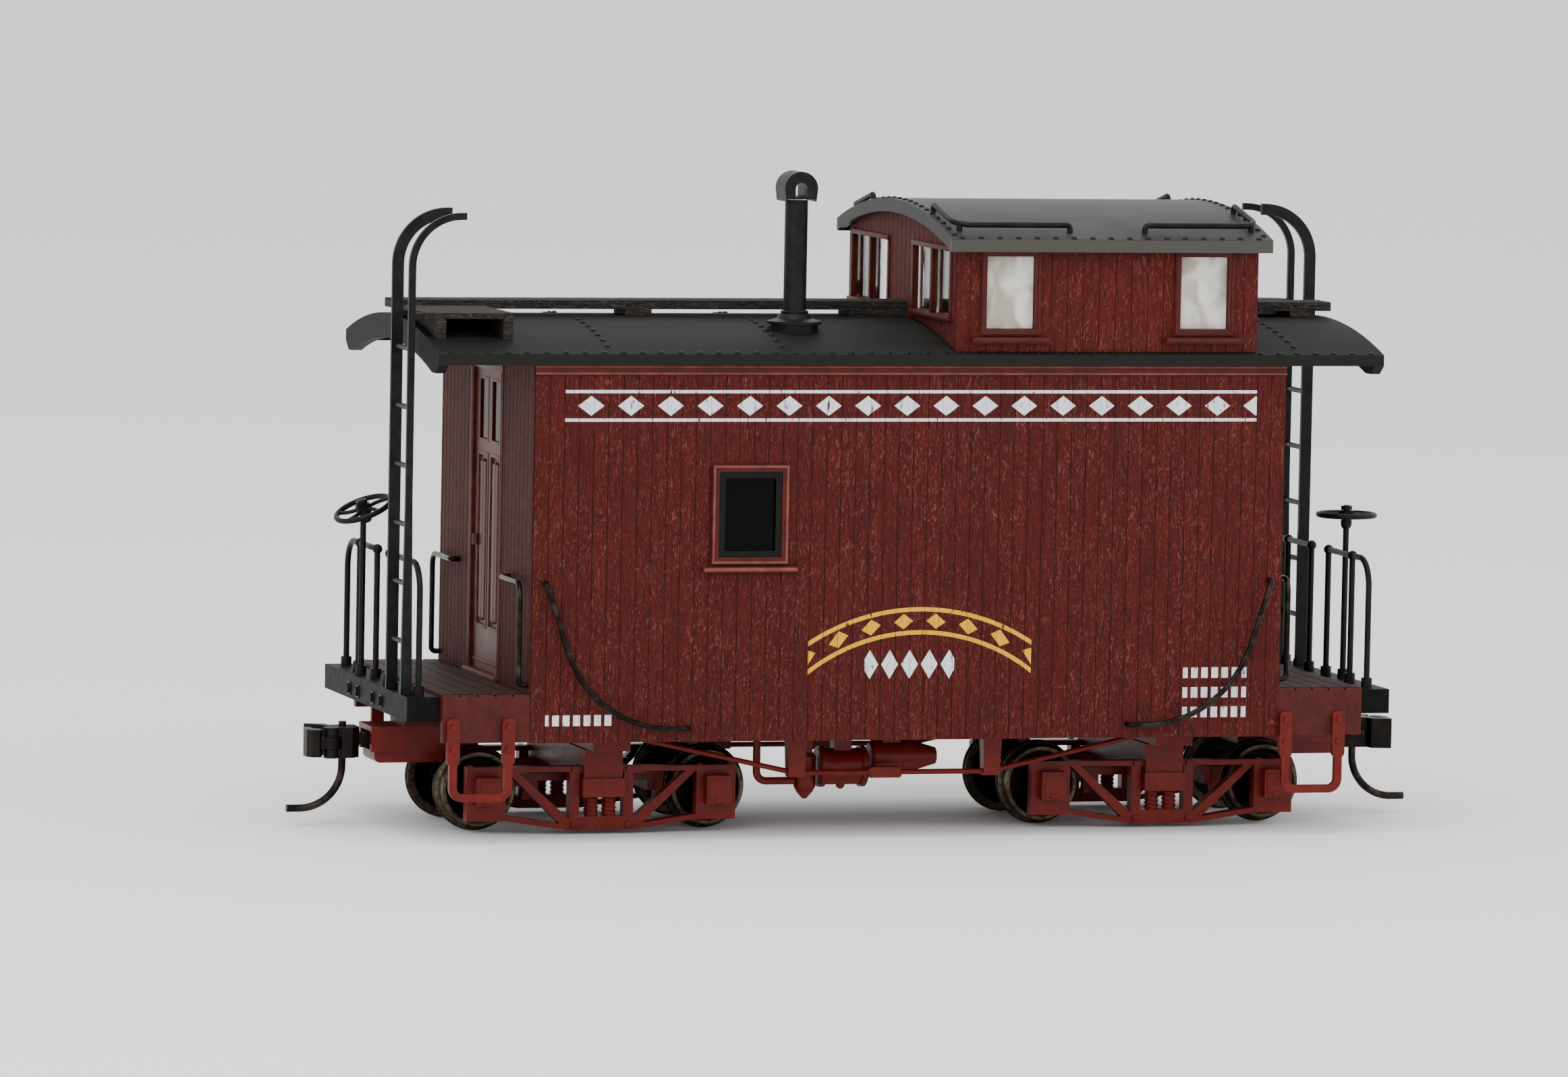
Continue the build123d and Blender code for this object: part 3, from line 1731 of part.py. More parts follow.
def side_frame():
    """One archbar side frame at positive Y, about the truck's centre."""
    bar = archbar_height
    with BuildPart() as frame:
        with BuildSketch(Plane.XZ.offset(-frame_outer)):
            for end in (-1, 1):
                with BuildLine():
                    Polyline(
                        (0, arch_bottom_z - bar / 2),
                        (end * column_out, arch_bottom_z - bar / 2),
                        (end * box_in, journal_box_bottom - bar / 2),
                        (end * box_out, journal_box_bottom - bar / 2),
                        (end * box_out, journal_box_bottom + bar / 2),
                        (end * box_in, journal_box_bottom + bar / 2),
                        (end * column_out, arch_bottom_z + bar / 2),
                        (0, arch_bottom_z + bar / 2),
                        close=True,
                    )
                make_face()
                with BuildLine():
                    Polyline(
                        (end * column_in, arch_bottom_z),
                        (end * (column_out + 0.7), arch_bottom_z),
                        (end * (box_in + 0.6), top_bar_z + bar / 2),
                        (end * (box_in - 0.7), top_bar_z + bar / 2),
                        close=True,
                    )
                make_face()
                with Locations((end * (column_in + column_width / 2), (arch_bottom_z + top_bar_z) / 2)):
                    Rectangle(column_width, top_bar_z - arch_bottom_z)
                with Locations((end * half_base, journal_box_bottom + journal_box_height / 2)):
                    Rectangle(journal_box_width, journal_box_height)
            with Locations((0, top_bar_z)):
                Rectangle(2 * box_out, bar)
            with Locations((0, arch_bottom_z + plank_height / 2)):
                Rectangle(2 * column_out, plank_height)
        extrude(amount=frame_thick)
        for end in (-1, 1):
            add(
                block(
                    (end * half_base - lid_width / 2, end * half_base + lid_width / 2),
                    (frame_outer, lid_y),
                    (lid_bottom, lid_bottom + lid_height),
                )
            )
            for step in (-1, 1):
                bolt_x = end * half_base + step * (journal_box_width / 2 - 0.6)
                add(post(bolt_x, frame_outer - 0.7, (box_top, box_top + 0.65), 0.42))
        half_bolster = bolster_width / 2
        add(
            block(
                (-half_bolster - 0.25, half_bolster + 0.25),
                (frame_inner, lid_y - 0.3),
                (spring_top, bolster_bottom + 0.05),
            )
        )
        for end in (-1, 1):
            add(
                post(
                    end * spring_pitch / 2,
                    frame_inner + frame_thick / 2,
                    (spring_bottom - 0.6, spring_top + 0.1),
                    spring_radius,
                )
            )
    return frame.part


def brake_shoes():
    """Shoes and hangers for one wheelset, on arms from the bolster, at positive X."""
    tread_edge = half_base - tread_radius
    with BuildPart() as shoes:
        for side in (-1, 1):
            y_range = (side * shoe_y - 0.8, side * shoe_y + 0.8)
            add(
                block(
                    (tread_edge - shoe_gap - shoe_thick - 0.6, half_base),
                    y_range,
                    (shoe_low, shoe_high),
                )
            )
        with BuildPart(mode=Mode.PRIVATE) as relief:
            with Locations((half_base, 0, axle_z)):
                Cylinder(flange_radius + shoe_gap, 4 * shoe_y, rotation=(90, 0, 0))
        add(relief.part, mode=Mode.SUBTRACT)
        reach = tread_edge - shoe_gap - shoe_thick
        add(block((reach - 1.6, reach - 0.4), (-shoe_y, shoe_y), (5.2, 6.4)))
        for side in (-1, 1):
            y_range = (side * shoe_y - 0.6, side * shoe_y + 0.6)
            add(block((0, reach - 0.4), y_range, (6.6, shoe_high)))
            add(block((reach - 1.6, reach), y_range, (5.2, shoe_high)))
    return shoes.part


with BuildPart() as truck_frame:
    half_bolster = bolster_width / 2
    add(
        block(
            (-half_bolster, half_bolster),
            (-bolster_end, bolster_end),
            (bolster_bottom, bolster_top),
        )
    )
    one_side = side_frame()
    add(one_side)
    add(turned(one_side))
    shoes = brake_shoes()
    add(shoes)
    add(turned(shoes))
    for x in (-half_base, half_base):
        with Locations((x, 0, axle_z)):
            Cylinder(
                journal_radius + running_gap,
                2 * (journal_end + 0.2),
                rotation=(90, 0, 0),
                mode=Mode.SUBTRACT,
            )
    add(
        post(0, 0, (bolster_bottom - 2, bolster_top + 1), kingpin_radius + running_gap),
        mode=Mode.SUBTRACT,
    )

for side, x in (("left", -truck_centre), ("right", truck_centre)):
    with BuildPart() as placed_frame:
        add(truck_frame.part.translate((x, 0, 0)))
    save(placed_frame, f"{side}_truck_frame")

# ---- wheelsets ------------------------------------------------------------------------------
with BuildPart() as wheel:
    with BuildSketch(Plane.XY):
        with BuildLine():
            Polyline(
                (axle_radius, wheel_back),
                (hub_radius + 0.1, wheel_back),
                (hub_radius + 0.4, wheel_back + 0.4),
                (rim_inner_radius - 0.2, wheel_back + 0.4),
                (rim_inner_radius + 0.1, wheel_back),
                (flange_radius - 0.35, wheel_back),
            )
            ThreePointArc(
                (flange_radius - 0.35, wheel_back),
                (flange_radius, wheel_back + flange_width / 2),
                (flange_radius - 0.35, wheel_back + flange_width),
            )
            Polyline(
                (flange_radius - 0.35, wheel_back + flange_width),
                (tread_radius, wheel_back + flange_width + 0.25),
                (tread_radius - tread_taper, wheel_face),
                (rim_inner_radius + 0.1, wheel_face),
                (rim_inner_radius - 0.2, wheel_face - dish_depth),
                (hub_radius + 0.3, wheel_face - dish_depth),
                (hub_radius, wheel_face + hub_proud),
                (axle_radius, wheel_face + hub_proud),
                (axle_radius, wheel_back),
            )
        make_face()
    revolve(axis=Axis.Y)

with BuildPart() as axle:
    Cylinder(axle_radius, 2 * (wheel_face + hub_proud), rotation=(90, 0, 0))
    Cylinder(journal_radius, 2 * journal_end, rotation=(90, 0, 0))

for side, centre in (("left", -truck_centre), ("right", truck_centre)):
    direction = 1 if centre > 0 else -1
    for position, offset in (("inner", -half_base), ("outer", half_base)):
        x = centre + direction * offset
        with BuildPart() as placed_axle:
            add(axle.part.translate((x, 0, axle_z)))
        save(placed_axle, f"{side}_{position}_axle")
        with BuildPart() as placed_wheels:
            add(wheel.part.translate((x, 0, axle_z)))
            add(wheel.part.mirror(Plane.XZ).translate((x, 0, axle_z)))
        save(placed_wheels, f"{side}_{position}_wheels")
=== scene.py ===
"""Looks of a model caboose: boarded body, riveted roofs, glazed cupola, end ironwork, trucks and couplers."""

from __future__ import annotations

import logging
import math
from dataclasses import dataclass
from enum import Enum
from typing import Any, Iterable, Sequence

import bmesh
import bpy
from mathutils import Matrix, Vector


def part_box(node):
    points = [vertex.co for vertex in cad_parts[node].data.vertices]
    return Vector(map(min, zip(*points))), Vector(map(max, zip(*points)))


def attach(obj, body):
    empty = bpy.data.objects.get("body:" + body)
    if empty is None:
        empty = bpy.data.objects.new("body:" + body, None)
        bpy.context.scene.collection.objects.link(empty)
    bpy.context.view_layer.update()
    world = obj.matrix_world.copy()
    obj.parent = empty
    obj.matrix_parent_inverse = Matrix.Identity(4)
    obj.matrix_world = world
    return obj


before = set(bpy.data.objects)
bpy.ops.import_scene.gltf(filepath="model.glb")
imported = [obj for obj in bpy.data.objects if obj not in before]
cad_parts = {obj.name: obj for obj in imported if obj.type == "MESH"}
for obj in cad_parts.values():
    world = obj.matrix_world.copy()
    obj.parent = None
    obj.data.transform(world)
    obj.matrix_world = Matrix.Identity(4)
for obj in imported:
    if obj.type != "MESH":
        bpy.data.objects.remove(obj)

LOG = logging.getLogger("caboose")
MM = 0.001
Point = tuple[float, float, float]
Colour = tuple[float, float, float, float]


def tint(red: int, green: int, blue: int) -> Colour:
    """Linear colour of a paint chip given on the usual 0 to 255 scale."""
    parts = [channel / 255 for channel in (red, green, blue)]
    linear = [p / 12.92 if p <= 0.04045 else ((p + 0.055) / 1.055) ** 2.4 for p in parts]
    return (linear[0], linear[1], linear[2], 1.0)


class Grain(Enum):
    """Which way the length of a board runs."""

    UPRIGHT = (1.0, 1.0, 0.0)
    ACROSS = (1.0, 0.0, 1.0)
    ALONG = (0.0, 1.0, 1.0)


# ---- finishes -------------------------------------------------------------------------------


class Shader:
    """A material's node tree, with short ways to add nodes and join them."""

    def __init__(self, name: str) -> None:
        """Starts a material with one principled surface.

        Args:
            name: the material's name.
        """
        self.material = bpy.data.materials.new(name)
        self.material.use_nodes = True
        self.nodes = self.material.node_tree.nodes
        self.links = self.material.node_tree.links
        self.surface = self.nodes["Principled BSDF"]

    def node(self, kind: str, inputs: dict[Any, Any] | None = None, **settings: Any) -> Any:
        """Adds a node.

        Args:
            kind: the node's type, without its ShaderNode prefix.
            inputs: values or sockets, by input name or index.
            settings: the node's own properties.

        Returns:
            The new node.
        """
        made = self.nodes.new("ShaderNode" + kind)
        for key, value in settings.items():
            setattr(made, key, value)
        for key, value in (inputs or {}).items():
            if isinstance(value, bpy.types.NodeSocket):
                self.links.new(value, made.inputs[key])
            else:
                made.inputs[key].default_value = value
        return made

    def maths(self, operation: str, first: Any, second: Any = 0.0, third: Any = 0.0) -> Any:
        """The output of one Math node on numbers or sockets."""
        return self.node("Math", {0: first, 1: second, 2: third}, operation=operation).outputs[0]

    def place(self, cell: Sequence[float]) -> Any:
        """Object coordinates scaled so that one unit is a cell of these sizes.

        Args:
            cell: sizes in millimetres along X, Y and Z.

        Returns:
            The vector socket.
        """
        coords = self.node("TexCoord").outputs["Object"]
        scale = [1 / (size * MM) for size in cell]
        return self.node("Mapping", {"Vector": coords, "Scale": scale}).outputs[0]

    def where(self) -> Any:
        """The point being shaded: X, Y and Z in millimetres."""
        return self.node("SeparateXYZ", {0: self.place((1, 1, 1))}).outputs

    def noise(self, cell: Sequence[float], detail: float = 3.0, twist: float = 0.0) -> Any:
        """The strength of a noise whose cells have these sizes, in millimetres."""
        inputs = {"Vector": self.place(cell), "Scale": 1.0, "Detail": detail, "Distortion": twist}
        return self.node("TexNoise", inputs).outputs[0]

    def ramp(self, strength: Any, low: float, high: float) -> Any:
        """Strength stretched so that low gives 0 and high gives 1, with a soft change."""
        inputs = {"Value": strength, "From Min": low, "From Max": high}
        return self.node("MapRange", inputs, interpolation_type="SMOOTHSTEP").outputs[0]

    def spread(self, strength: Any, low: float, high: float) -> Any:
        """Strength from 0 to 1 carried to the range from low to high."""
        return self.node("MapRange", {"Value": strength, "To Min": low, "To Max": high}).outputs[0]

    def blend(self, share: Any, first: Any, second: Any) -> Any:
        """Colour that goes from first to second as share goes from 0 to 1."""
        inputs = {0: share, 6: first, 7: second}
        return self.node("Mix", inputs, data_type="RGBA").outputs[2]

    def bump(self, height: Any, depth: float, under: Any = None) -> Any:
        """A normal for this height.

        Args:
            height: the height socket, from 0 to 1.
            depth: how deep the relief is, in millimetres.
            under: another bump's normal, which this one adds to.

        Returns:
            The normal socket.
        """
        inputs = {"Height": height, "Strength": 1.0, "Distance": depth * MM}
        if under is not None:
            inputs["Normal"] = under
        return self.node("Bump", inputs).outputs[0]

    def coat(self, colour: Any, rough: Any, normal: Any, specular: float, **more: Any) -> bpy.types.Material:
        """Joins or sets the sockets of the surface.

        Args:
            colour: the base colour.
            rough: the roughness.
            normal: the normal, or None to leave it.
            specular: how strongly it mirrors, 0.5 being plain glass or plastic.
            more: other sockets, by name with underscores for spaces.

        Returns:
            The finished material.
        """
        sockets = {"Base Color": colour, "Roughness": rough, "Normal": normal, "Specular IOR Level": specular}
        sockets.update({name.replace("_", " "): value for name, value in more.items()})
        for name, value in sockets.items():
            if isinstance(value, bpy.types.NodeSocket):
                self.links.new(value, self.surface.inputs[name])
            elif value is not None:
                self.surface.inputs[name].default_value = value
        return self.material


@dataclass(frozen=True)
class BoardPaint:
    """Paint over moulded wood grain, with painted shade darkening the board joints and painted highlights on
    the grain ridges, in patches.
    """

    name: str
    base: Colour
    dark: Colour
    # Painted highlight colour for the grain ridges.
    ridge_highlight: Colour
    grain: Grain = Grain.UPRIGHT
    roughness: float = 0.62
    lining: bool = False
    specular: float = 0.15

    def cell(self, width: float, length: float) -> list[float]:
        """Noise cell of this width across the grain and this length along it."""
        return [width if across else length for across in self.grain.value]

    def make(self) -> bpy.types.Material:
        """Builds the material."""
        s = Shader(self.name)
        fibre = s.noise(self.cell(0.2, 2.6), 4.0, 0.8)
        figure = s.noise(self.cell(0.34, 1.5), 2.5, 2.4)
        patch = s.noise(self.cell(5.0, 14.0), 3.0)
        tone = s.node("Attribute", attribute_name="tone").outputs["Fac"]
        edge = s.node("Attribute", attribute_name="edge").outputs["Fac"]
        colour = s.blend(s.ramp(fibre, 0.35, 0.62), self.dark, self.base)
        colour = s.blend(s.maths("MULTIPLY", tone, 0.35), colour, self.dark)
        # Painted highlight: grain ridges, in patches, take the lighter ridge colour as if they caught the
        # light.
        ridge = s.maths("MULTIPLY", s.ramp(figure, 0.54, 0.66), s.ramp(patch, 0.2, 0.6))
        colour = s.blend(s.maths("MULTIPLY", ridge, 0.52), colour, self.ridge_highlight)
        # Painted shade: the rounded board edges at each joint are darkened toward the dark colour.
        colour = s.blend(s.maths("MULTIPLY", s.ramp(edge, 0.9, 1.0), 0.6), colour, self.dark)
        if self.lining:
            colour = Lining().over(s, colour)
        relief = s.bump(fibre, 0.07, s.bump(figure, 0.14))
        rough = s.spread(fibre, self.roughness - 0.1, self.roughness + 0.12)
        return s.coat(colour, rough, relief, self.specular)


@dataclass(frozen=True)
class Lining:
    """Painted stripes and lozenges on the two sides of the body, the far side turned half a turn."""

    white: Colour = tint(214, 216, 222)
    yellow: Colour = tint(214, 160, 22)
    band_low: float = 54.75
    band_high: float = 58.85
    band_from: float = -47.0
    band_to: float = 47.0
    stripe: float = 0.42
    lozenge_pitch: float = 5.32
    arc_x: float = 1.4
    arc_z: float = 2.0
    arc_radius: float = 28.2
    arc_half: float = 15.2
    arc_line: float = 0.28
    arc_width: float = 3.02
    arc_foot: float = 20.0
    tally_z: float = 23.0
    tally_half: float = 6.1
    dash_half_pitch: float = 0.7
    dash_half: float = 0.46
    dash_rise: float = 0.7
    dash_rows: tuple[Point, ...] = (
        (-49.0, -39.9, 16.0),
        (37.6, 46.4, 16.4),
        (37.6, 46.4, 19.0),
        (37.6, 46.4, 21.6),
    )

    def within(self, s: Shader, value: Any, low: float, high: float) -> Any:
        """1 where value lies between low and high, in millimetres, else 0."""
        middle, half = (low + high) / 2, (high - low) / 2
        away = s.maths("ABSOLUTE", s.maths("SUBTRACT", value, middle))
        return s.maths("LESS_THAN", away, half)

    def lozenges(self, s: Shader, x: Any, z: Any, middle: float, pitch: float, half: Point) -> Any:
        """A row of lozenges along X.

        Args:
            s: the shader.
            x: the distance along the side.
            z: the height.
            middle: height of the row's centre line.
            pitch: distance between lozenges.
            half: half length, half height and the phase of the row.

        Returns:
            A socket that is 1 on the lozenges.
        """
        near = s.maths("PINGPONG", s.maths("ADD", x, half[2]), pitch / 2)
        across = s.maths("DIVIDE", near, half[0])
        up = s.maths("DIVIDE", s.maths("ABSOLUTE", s.maths("SUBTRACT", z, middle)), half[1])
        return s.maths("LESS_THAN", s.maths("ADD", across, up), 1.0)

    def over(self, s: Shader, under: Any) -> Any:
        """Paints the lining over a colour.

        Args:
            s: the shader.
            under: the colour below.

        Returns:
            The colour socket with the lining on it.
        """
        at_x, at_y, z = s.where()
        x = s.maths("MULTIPLY", s.maths("MULTIPLY", at_x, s.maths("SIGN", at_y)), -1.0)
        wear = s.ramp(s.noise((0.3, 0.3, 1.6), 3.0), 0.27, 0.4)
        run = self.within(s, x, self.band_from, self.band_to)
        low = self.within(s, z, self.band_low, self.band_low + self.stripe)
        high = self.within(s, z, self.band_high - self.stripe, self.band_high)
        middle = (self.band_low + self.band_high) / 2
        gem = self.lozenges(s, x, z, middle, self.lozenge_pitch, (1.75, 1.3, 1.0))
        band = s.maths("MULTIPLY", run, s.maths("MAXIMUM", gem, s.maths("MAXIMUM", low, high)))
        tally = self.lozenges(s, x, z, self.tally_z, 2.7, (1.15, 1.9, 0.0))
        tally = s.maths("MULTIPLY", tally, self.within(s, x, -self.tally_half, self.tally_half))
        marks = s.maths("MAXIMUM", band, tally)
        dash = s.maths("LESS_THAN", s.maths("PINGPONG", x, self.dash_half_pitch), self.dash_half)
        for start, end, height in self.dash_rows:
            rise = self.within(s, z, height - self.dash_rise, height + self.dash_rise)
            spot = s.maths("MULTIPLY", self.within(s, x, start, end), rise)
            marks = s.maths("MAXIMUM", marks, s.maths("MULTIPLY", spot, dash))
        white = s.maths("MULTIPLY", marks, wear)
        out, up = s.maths("SUBTRACT", x, self.arc_x), s.maths("SUBTRACT", z, self.arc_z)
        reach = s.node("CombineXYZ", {0: out, 1: up})
        ring = s.node("VectorMath", {0: reach.outputs[0]}, operation="LENGTH").outputs["Value"]
        line = self.arc_line
        outer = self.within(s, ring, self.arc_radius - line, self.arc_radius + line)
        inner_radius = self.arc_radius - self.arc_width
        inner = self.within(s, ring, inner_radius - line, inner_radius + line)
        beads = self.lozenges(s, x, ring, self.arc_radius - 1.5, 4.4, (1.3, 1.0, 0.9))
        arc = s.maths("MAXIMUM", beads, s.maths("MAXIMUM", outer, inner))
        span = self.within(s, x, self.arc_x - self.arc_half, self.arc_x + self.arc_half)
        above = s.maths("GREATER_THAN", z, self.arc_foot)
        yellow = s.maths("MULTIPLY", s.maths("MULTIPLY", arc, s.maths("MULTIPLY", span, above)), wear)
        return s.blend(yellow, s.blend(white, under, self.white), self.yellow)


@dataclass(frozen=True)
class MouldedPaint:
    """Thin paint on smooth moulded parts, with faint mottling, dust and rubbed high spots."""

    name: str
    base: Colour
    dark: Colour
    dust: Colour
    roughness: float = 0.48
    dusting: float = 0.35
    specular: float = 0.2

    def make(self) -> bpy.types.Material:
        """Builds the material."""
        s = Shader(self.name)
        mottle = s.noise((1.6, 1.6, 1.6), 5.0, 0.4)
        speck = s.noise((0.16, 0.16, 0.16), 2.0)
        drift = s.noise((7.0, 7.0, 4.0), 3.0, 0.8)
        colour = s.blend(s.ramp(mottle, 0.3, 0.7), self.dark, self.base)
        up = s.node("SeparateXYZ", {0: s.node("NewGeometry").outputs["Normal"]}).outputs[2]
        settle = s.maths("MULTIPLY", s.ramp(up, 0.2, 1.0), s.ramp(drift, 0.35, 0.75))
        colour = s.blend(s.maths("MULTIPLY", settle, self.dusting), colour, self.dust)
        colour = s.blend(s.maths("MULTIPLY", s.ramp(speck, 0.66, 0.8), 0.2), colour, self.dust)
        rough = s.spread(mottle, self.roughness - 0.1, self.roughness + 0.15)
        return s.coat(colour, rough, s.bump(mottle, 0.04, s.bump(speck, 0.012)), self.specular)


@dataclass(frozen=True)
class RoofSheet:
    """Matt roof sheet, with an eave strip of its own colour below a given height."""

    name: str
    base: Colour
    dark: Colour
    strip: Colour
    strip_below: float
    strip_beyond: float
    roughness: float = 0.5
    specular: float = 0.08

    def make(self) -> bpy.types.Material:
        """Builds the material."""
        s = Shader(self.name)
        cloud = s.noise((16.0, 9.0, 9.0), 4.0, 0.5)
        grit = s.noise((0.22, 0.22, 0.22), 3.0)
        colour = s.blend(s.ramp(cloud, 0.3, 0.7), self.dark, self.base)
        _, y, z = s.where()
        low = s.maths("LESS_THAN", z, self.strip_below)
        side = s.maths("GREATER_THAN", s.maths("ABSOLUTE", y), self.strip_beyond)
        colour = s.blend(s.maths("MULTIPLY", low, side), colour, self.strip)
        colour = s.blend(s.maths("MULTIPLY", s.ramp(grit, 0.55, 0.75), 0.18), colour, self.strip)
        rough = s.spread(cloud, self.roughness - 0.06, self.roughness + 0.1)
        return s.coat(colour, rough, s.bump(grit, 0.012), self.specular)


@dataclass(frozen=True)
class Metal:
    """Blackened or cast metal with a fine surface and brighter rubbed spots."""

    name: str
    base: Colour
    bright: Colour
    metallic: float
    roughness: float
    relief: float = 0.015
    specular: float = 0.15

    def make(self) -> bpy.types.Material:
        """Builds the material."""
        s = Shader(self.name)
        fine = s.noise((0.2, 0.2, 0.2), 4.0)
        broad = s.noise((1.8, 1.8, 1.8), 3.0, 0.5)
        share = s.maths("MULTIPLY", s.ramp(broad, 0.45, 0.75), 0.5)
        colour = s.blend(share, self.base, self.bright)
        rough = s.spread(broad, self.roughness + 0.1, self.roughness - 0.08)
        return s.coat(colour, rough, s.bump(fine, self.relief), self.specular, Metallic=self.metallic)


@dataclass(frozen=True)
class TurnedWheel:
    """Chemically blackened wheel, turned in fine rings, with a painted highlight in patches on its rim."""

    name: str
    centre_x: float
    centre_z: float
    dark: Colour = tint(17, 12, 10)
    # Painted highlight colour for the rim face.
    rim_highlight: Colour = tint(112, 96, 76)
    rim_from: float = 4.3
    rim_to: float = 5.3
    tread: float = 5.6
    ring_pitch: float = 46.0
    specular: float = 0.5

    def make(self) -> bpy.types.Material:
        """Builds the material."""
        s = Shader(self.name)
        at = {
            "Vector": s.node("TexCoord").outputs["Object"],
            "Location": (-self.centre_x / MM, 0.0, -self.centre_z / MM),
            "Scale": (1 / MM, 0.0, 1 / MM),
        }
        shift = s.node("Mapping", at).outputs[0]
        radius = s.node("VectorMath", {0: shift}, operation="LENGTH").outputs["Value"]
        rings = s.maths("SINE", s.maths("MULTIPLY", radius, self.ring_pitch))
        rings = s.maths("MULTIPLY_ADD", rings, 0.5, 0.5)
        # Painted highlight: a band on the rim face, broken up by patchy noise, takes the bright rim colour.
        band = s.ramp(radius, self.rim_from, self.rim_from + 0.25)
        band = s.maths("MULTIPLY", band, s.maths("SUBTRACT", 1.0, s.ramp(radius, self.rim_to, self.tread)))
        wheel_patches = s.noise((0.7, 0.7, 0.7), 4.0, 0.6)
        share = s.maths("MULTIPLY", band, s.ramp(wheel_patches, 0.2, 0.65))
        colour = s.blend(s.maths("MULTIPLY", share, 0.6), self.dark, self.rim_highlight)
        normal = s.bump(rings, 0.006, s.bump(wheel_patches, 0.02))
        return s.coat(colour, s.spread(wheel_patches, 0.22, 0.42), normal, self.specular, Metallic=0.9)


@dataclass(frozen=True)
class Glazing:
    """Window glass with slow ripples. Where it lets no light through, its colour and the door pane colour are
    painted shade standing for the dark interior; where it is clear, the outer faces of the long sides are
    opaque, with painted light standing for the bright room seen through them, in patches of painted shade.
    """

    name: str
    # For glass that lets no light through, this colour is painted shade for the dark interior behind it.
    colour: Colour
    # Painted shade: the dark red of the unlit interior behind the door panes.
    door_pane_shade: Colour
    transmission: float
    specular: float = 0.5
    roughness: float = 0.04
    ior: float = 1.46
    doors_beyond: float = 48.0
    # Painted light: the pale colour of the bright room seen through the outer side panes.
    view_light: Colour = tint(206, 202, 192)
    # Painted shade: the darker patches in those panes.
    view_shade: Colour = tint(158, 151, 140)
    view_light_beyond: float = 22.0

    def make(self) -> bpy.types.Material:
        """Builds the material."""
        s = Shader(self.name)
        ripple = s.noise((4.0, 4.0, 5.0), 1.0, 0.4)
        x, y, _ = s.where()
        at_door = s.maths("GREATER_THAN", s.maths("ABSOLUTE", x), self.doors_beyond)
        # Painted shade: panes past the doors take the dark red interior colour.
        colour = s.blend(at_door, self.colour, self.door_pane_shade)
        through = 0.0
        if self.transmission > 0:
            # Painted light: outer faces of the long sides are opaque and pale, with patches of painted shade,
            # standing for the bright room seen through them.
            hit = s.node("NewGeometry")
            looks = s.node("SeparateXYZ", {0: hit.outputs["Normal"]}).outputs[1]
            side = s.maths("GREATER_THAN", s.maths("ABSOLUTE", y), self.view_light_beyond)
            side = s.maths("MULTIPLY", side, s.maths("GREATER_THAN", s.maths("MULTIPLY", looks, y), 1.0))
            side = s.maths("MULTIPLY", side, s.maths("SUBTRACT", 1.0, hit.outputs["Backfacing"]))
            view_shade_patches = s.ramp(s.noise((3.4, 3.4, 5.0), 1.5, 0.8), 0.36, 0.62)
            colour = s.blend(side, colour, s.blend(view_shade_patches, self.view_shade, self.view_light))
            through = s.maths("MULTIPLY", s.maths("SUBTRACT", 1.0, side), self.transmission)
        body = {"Transmission_Weight": through, "IOR": self.ior}
        return s.coat(colour, self.roughness, s.bump(ripple, 0.03), self.specular, **body)


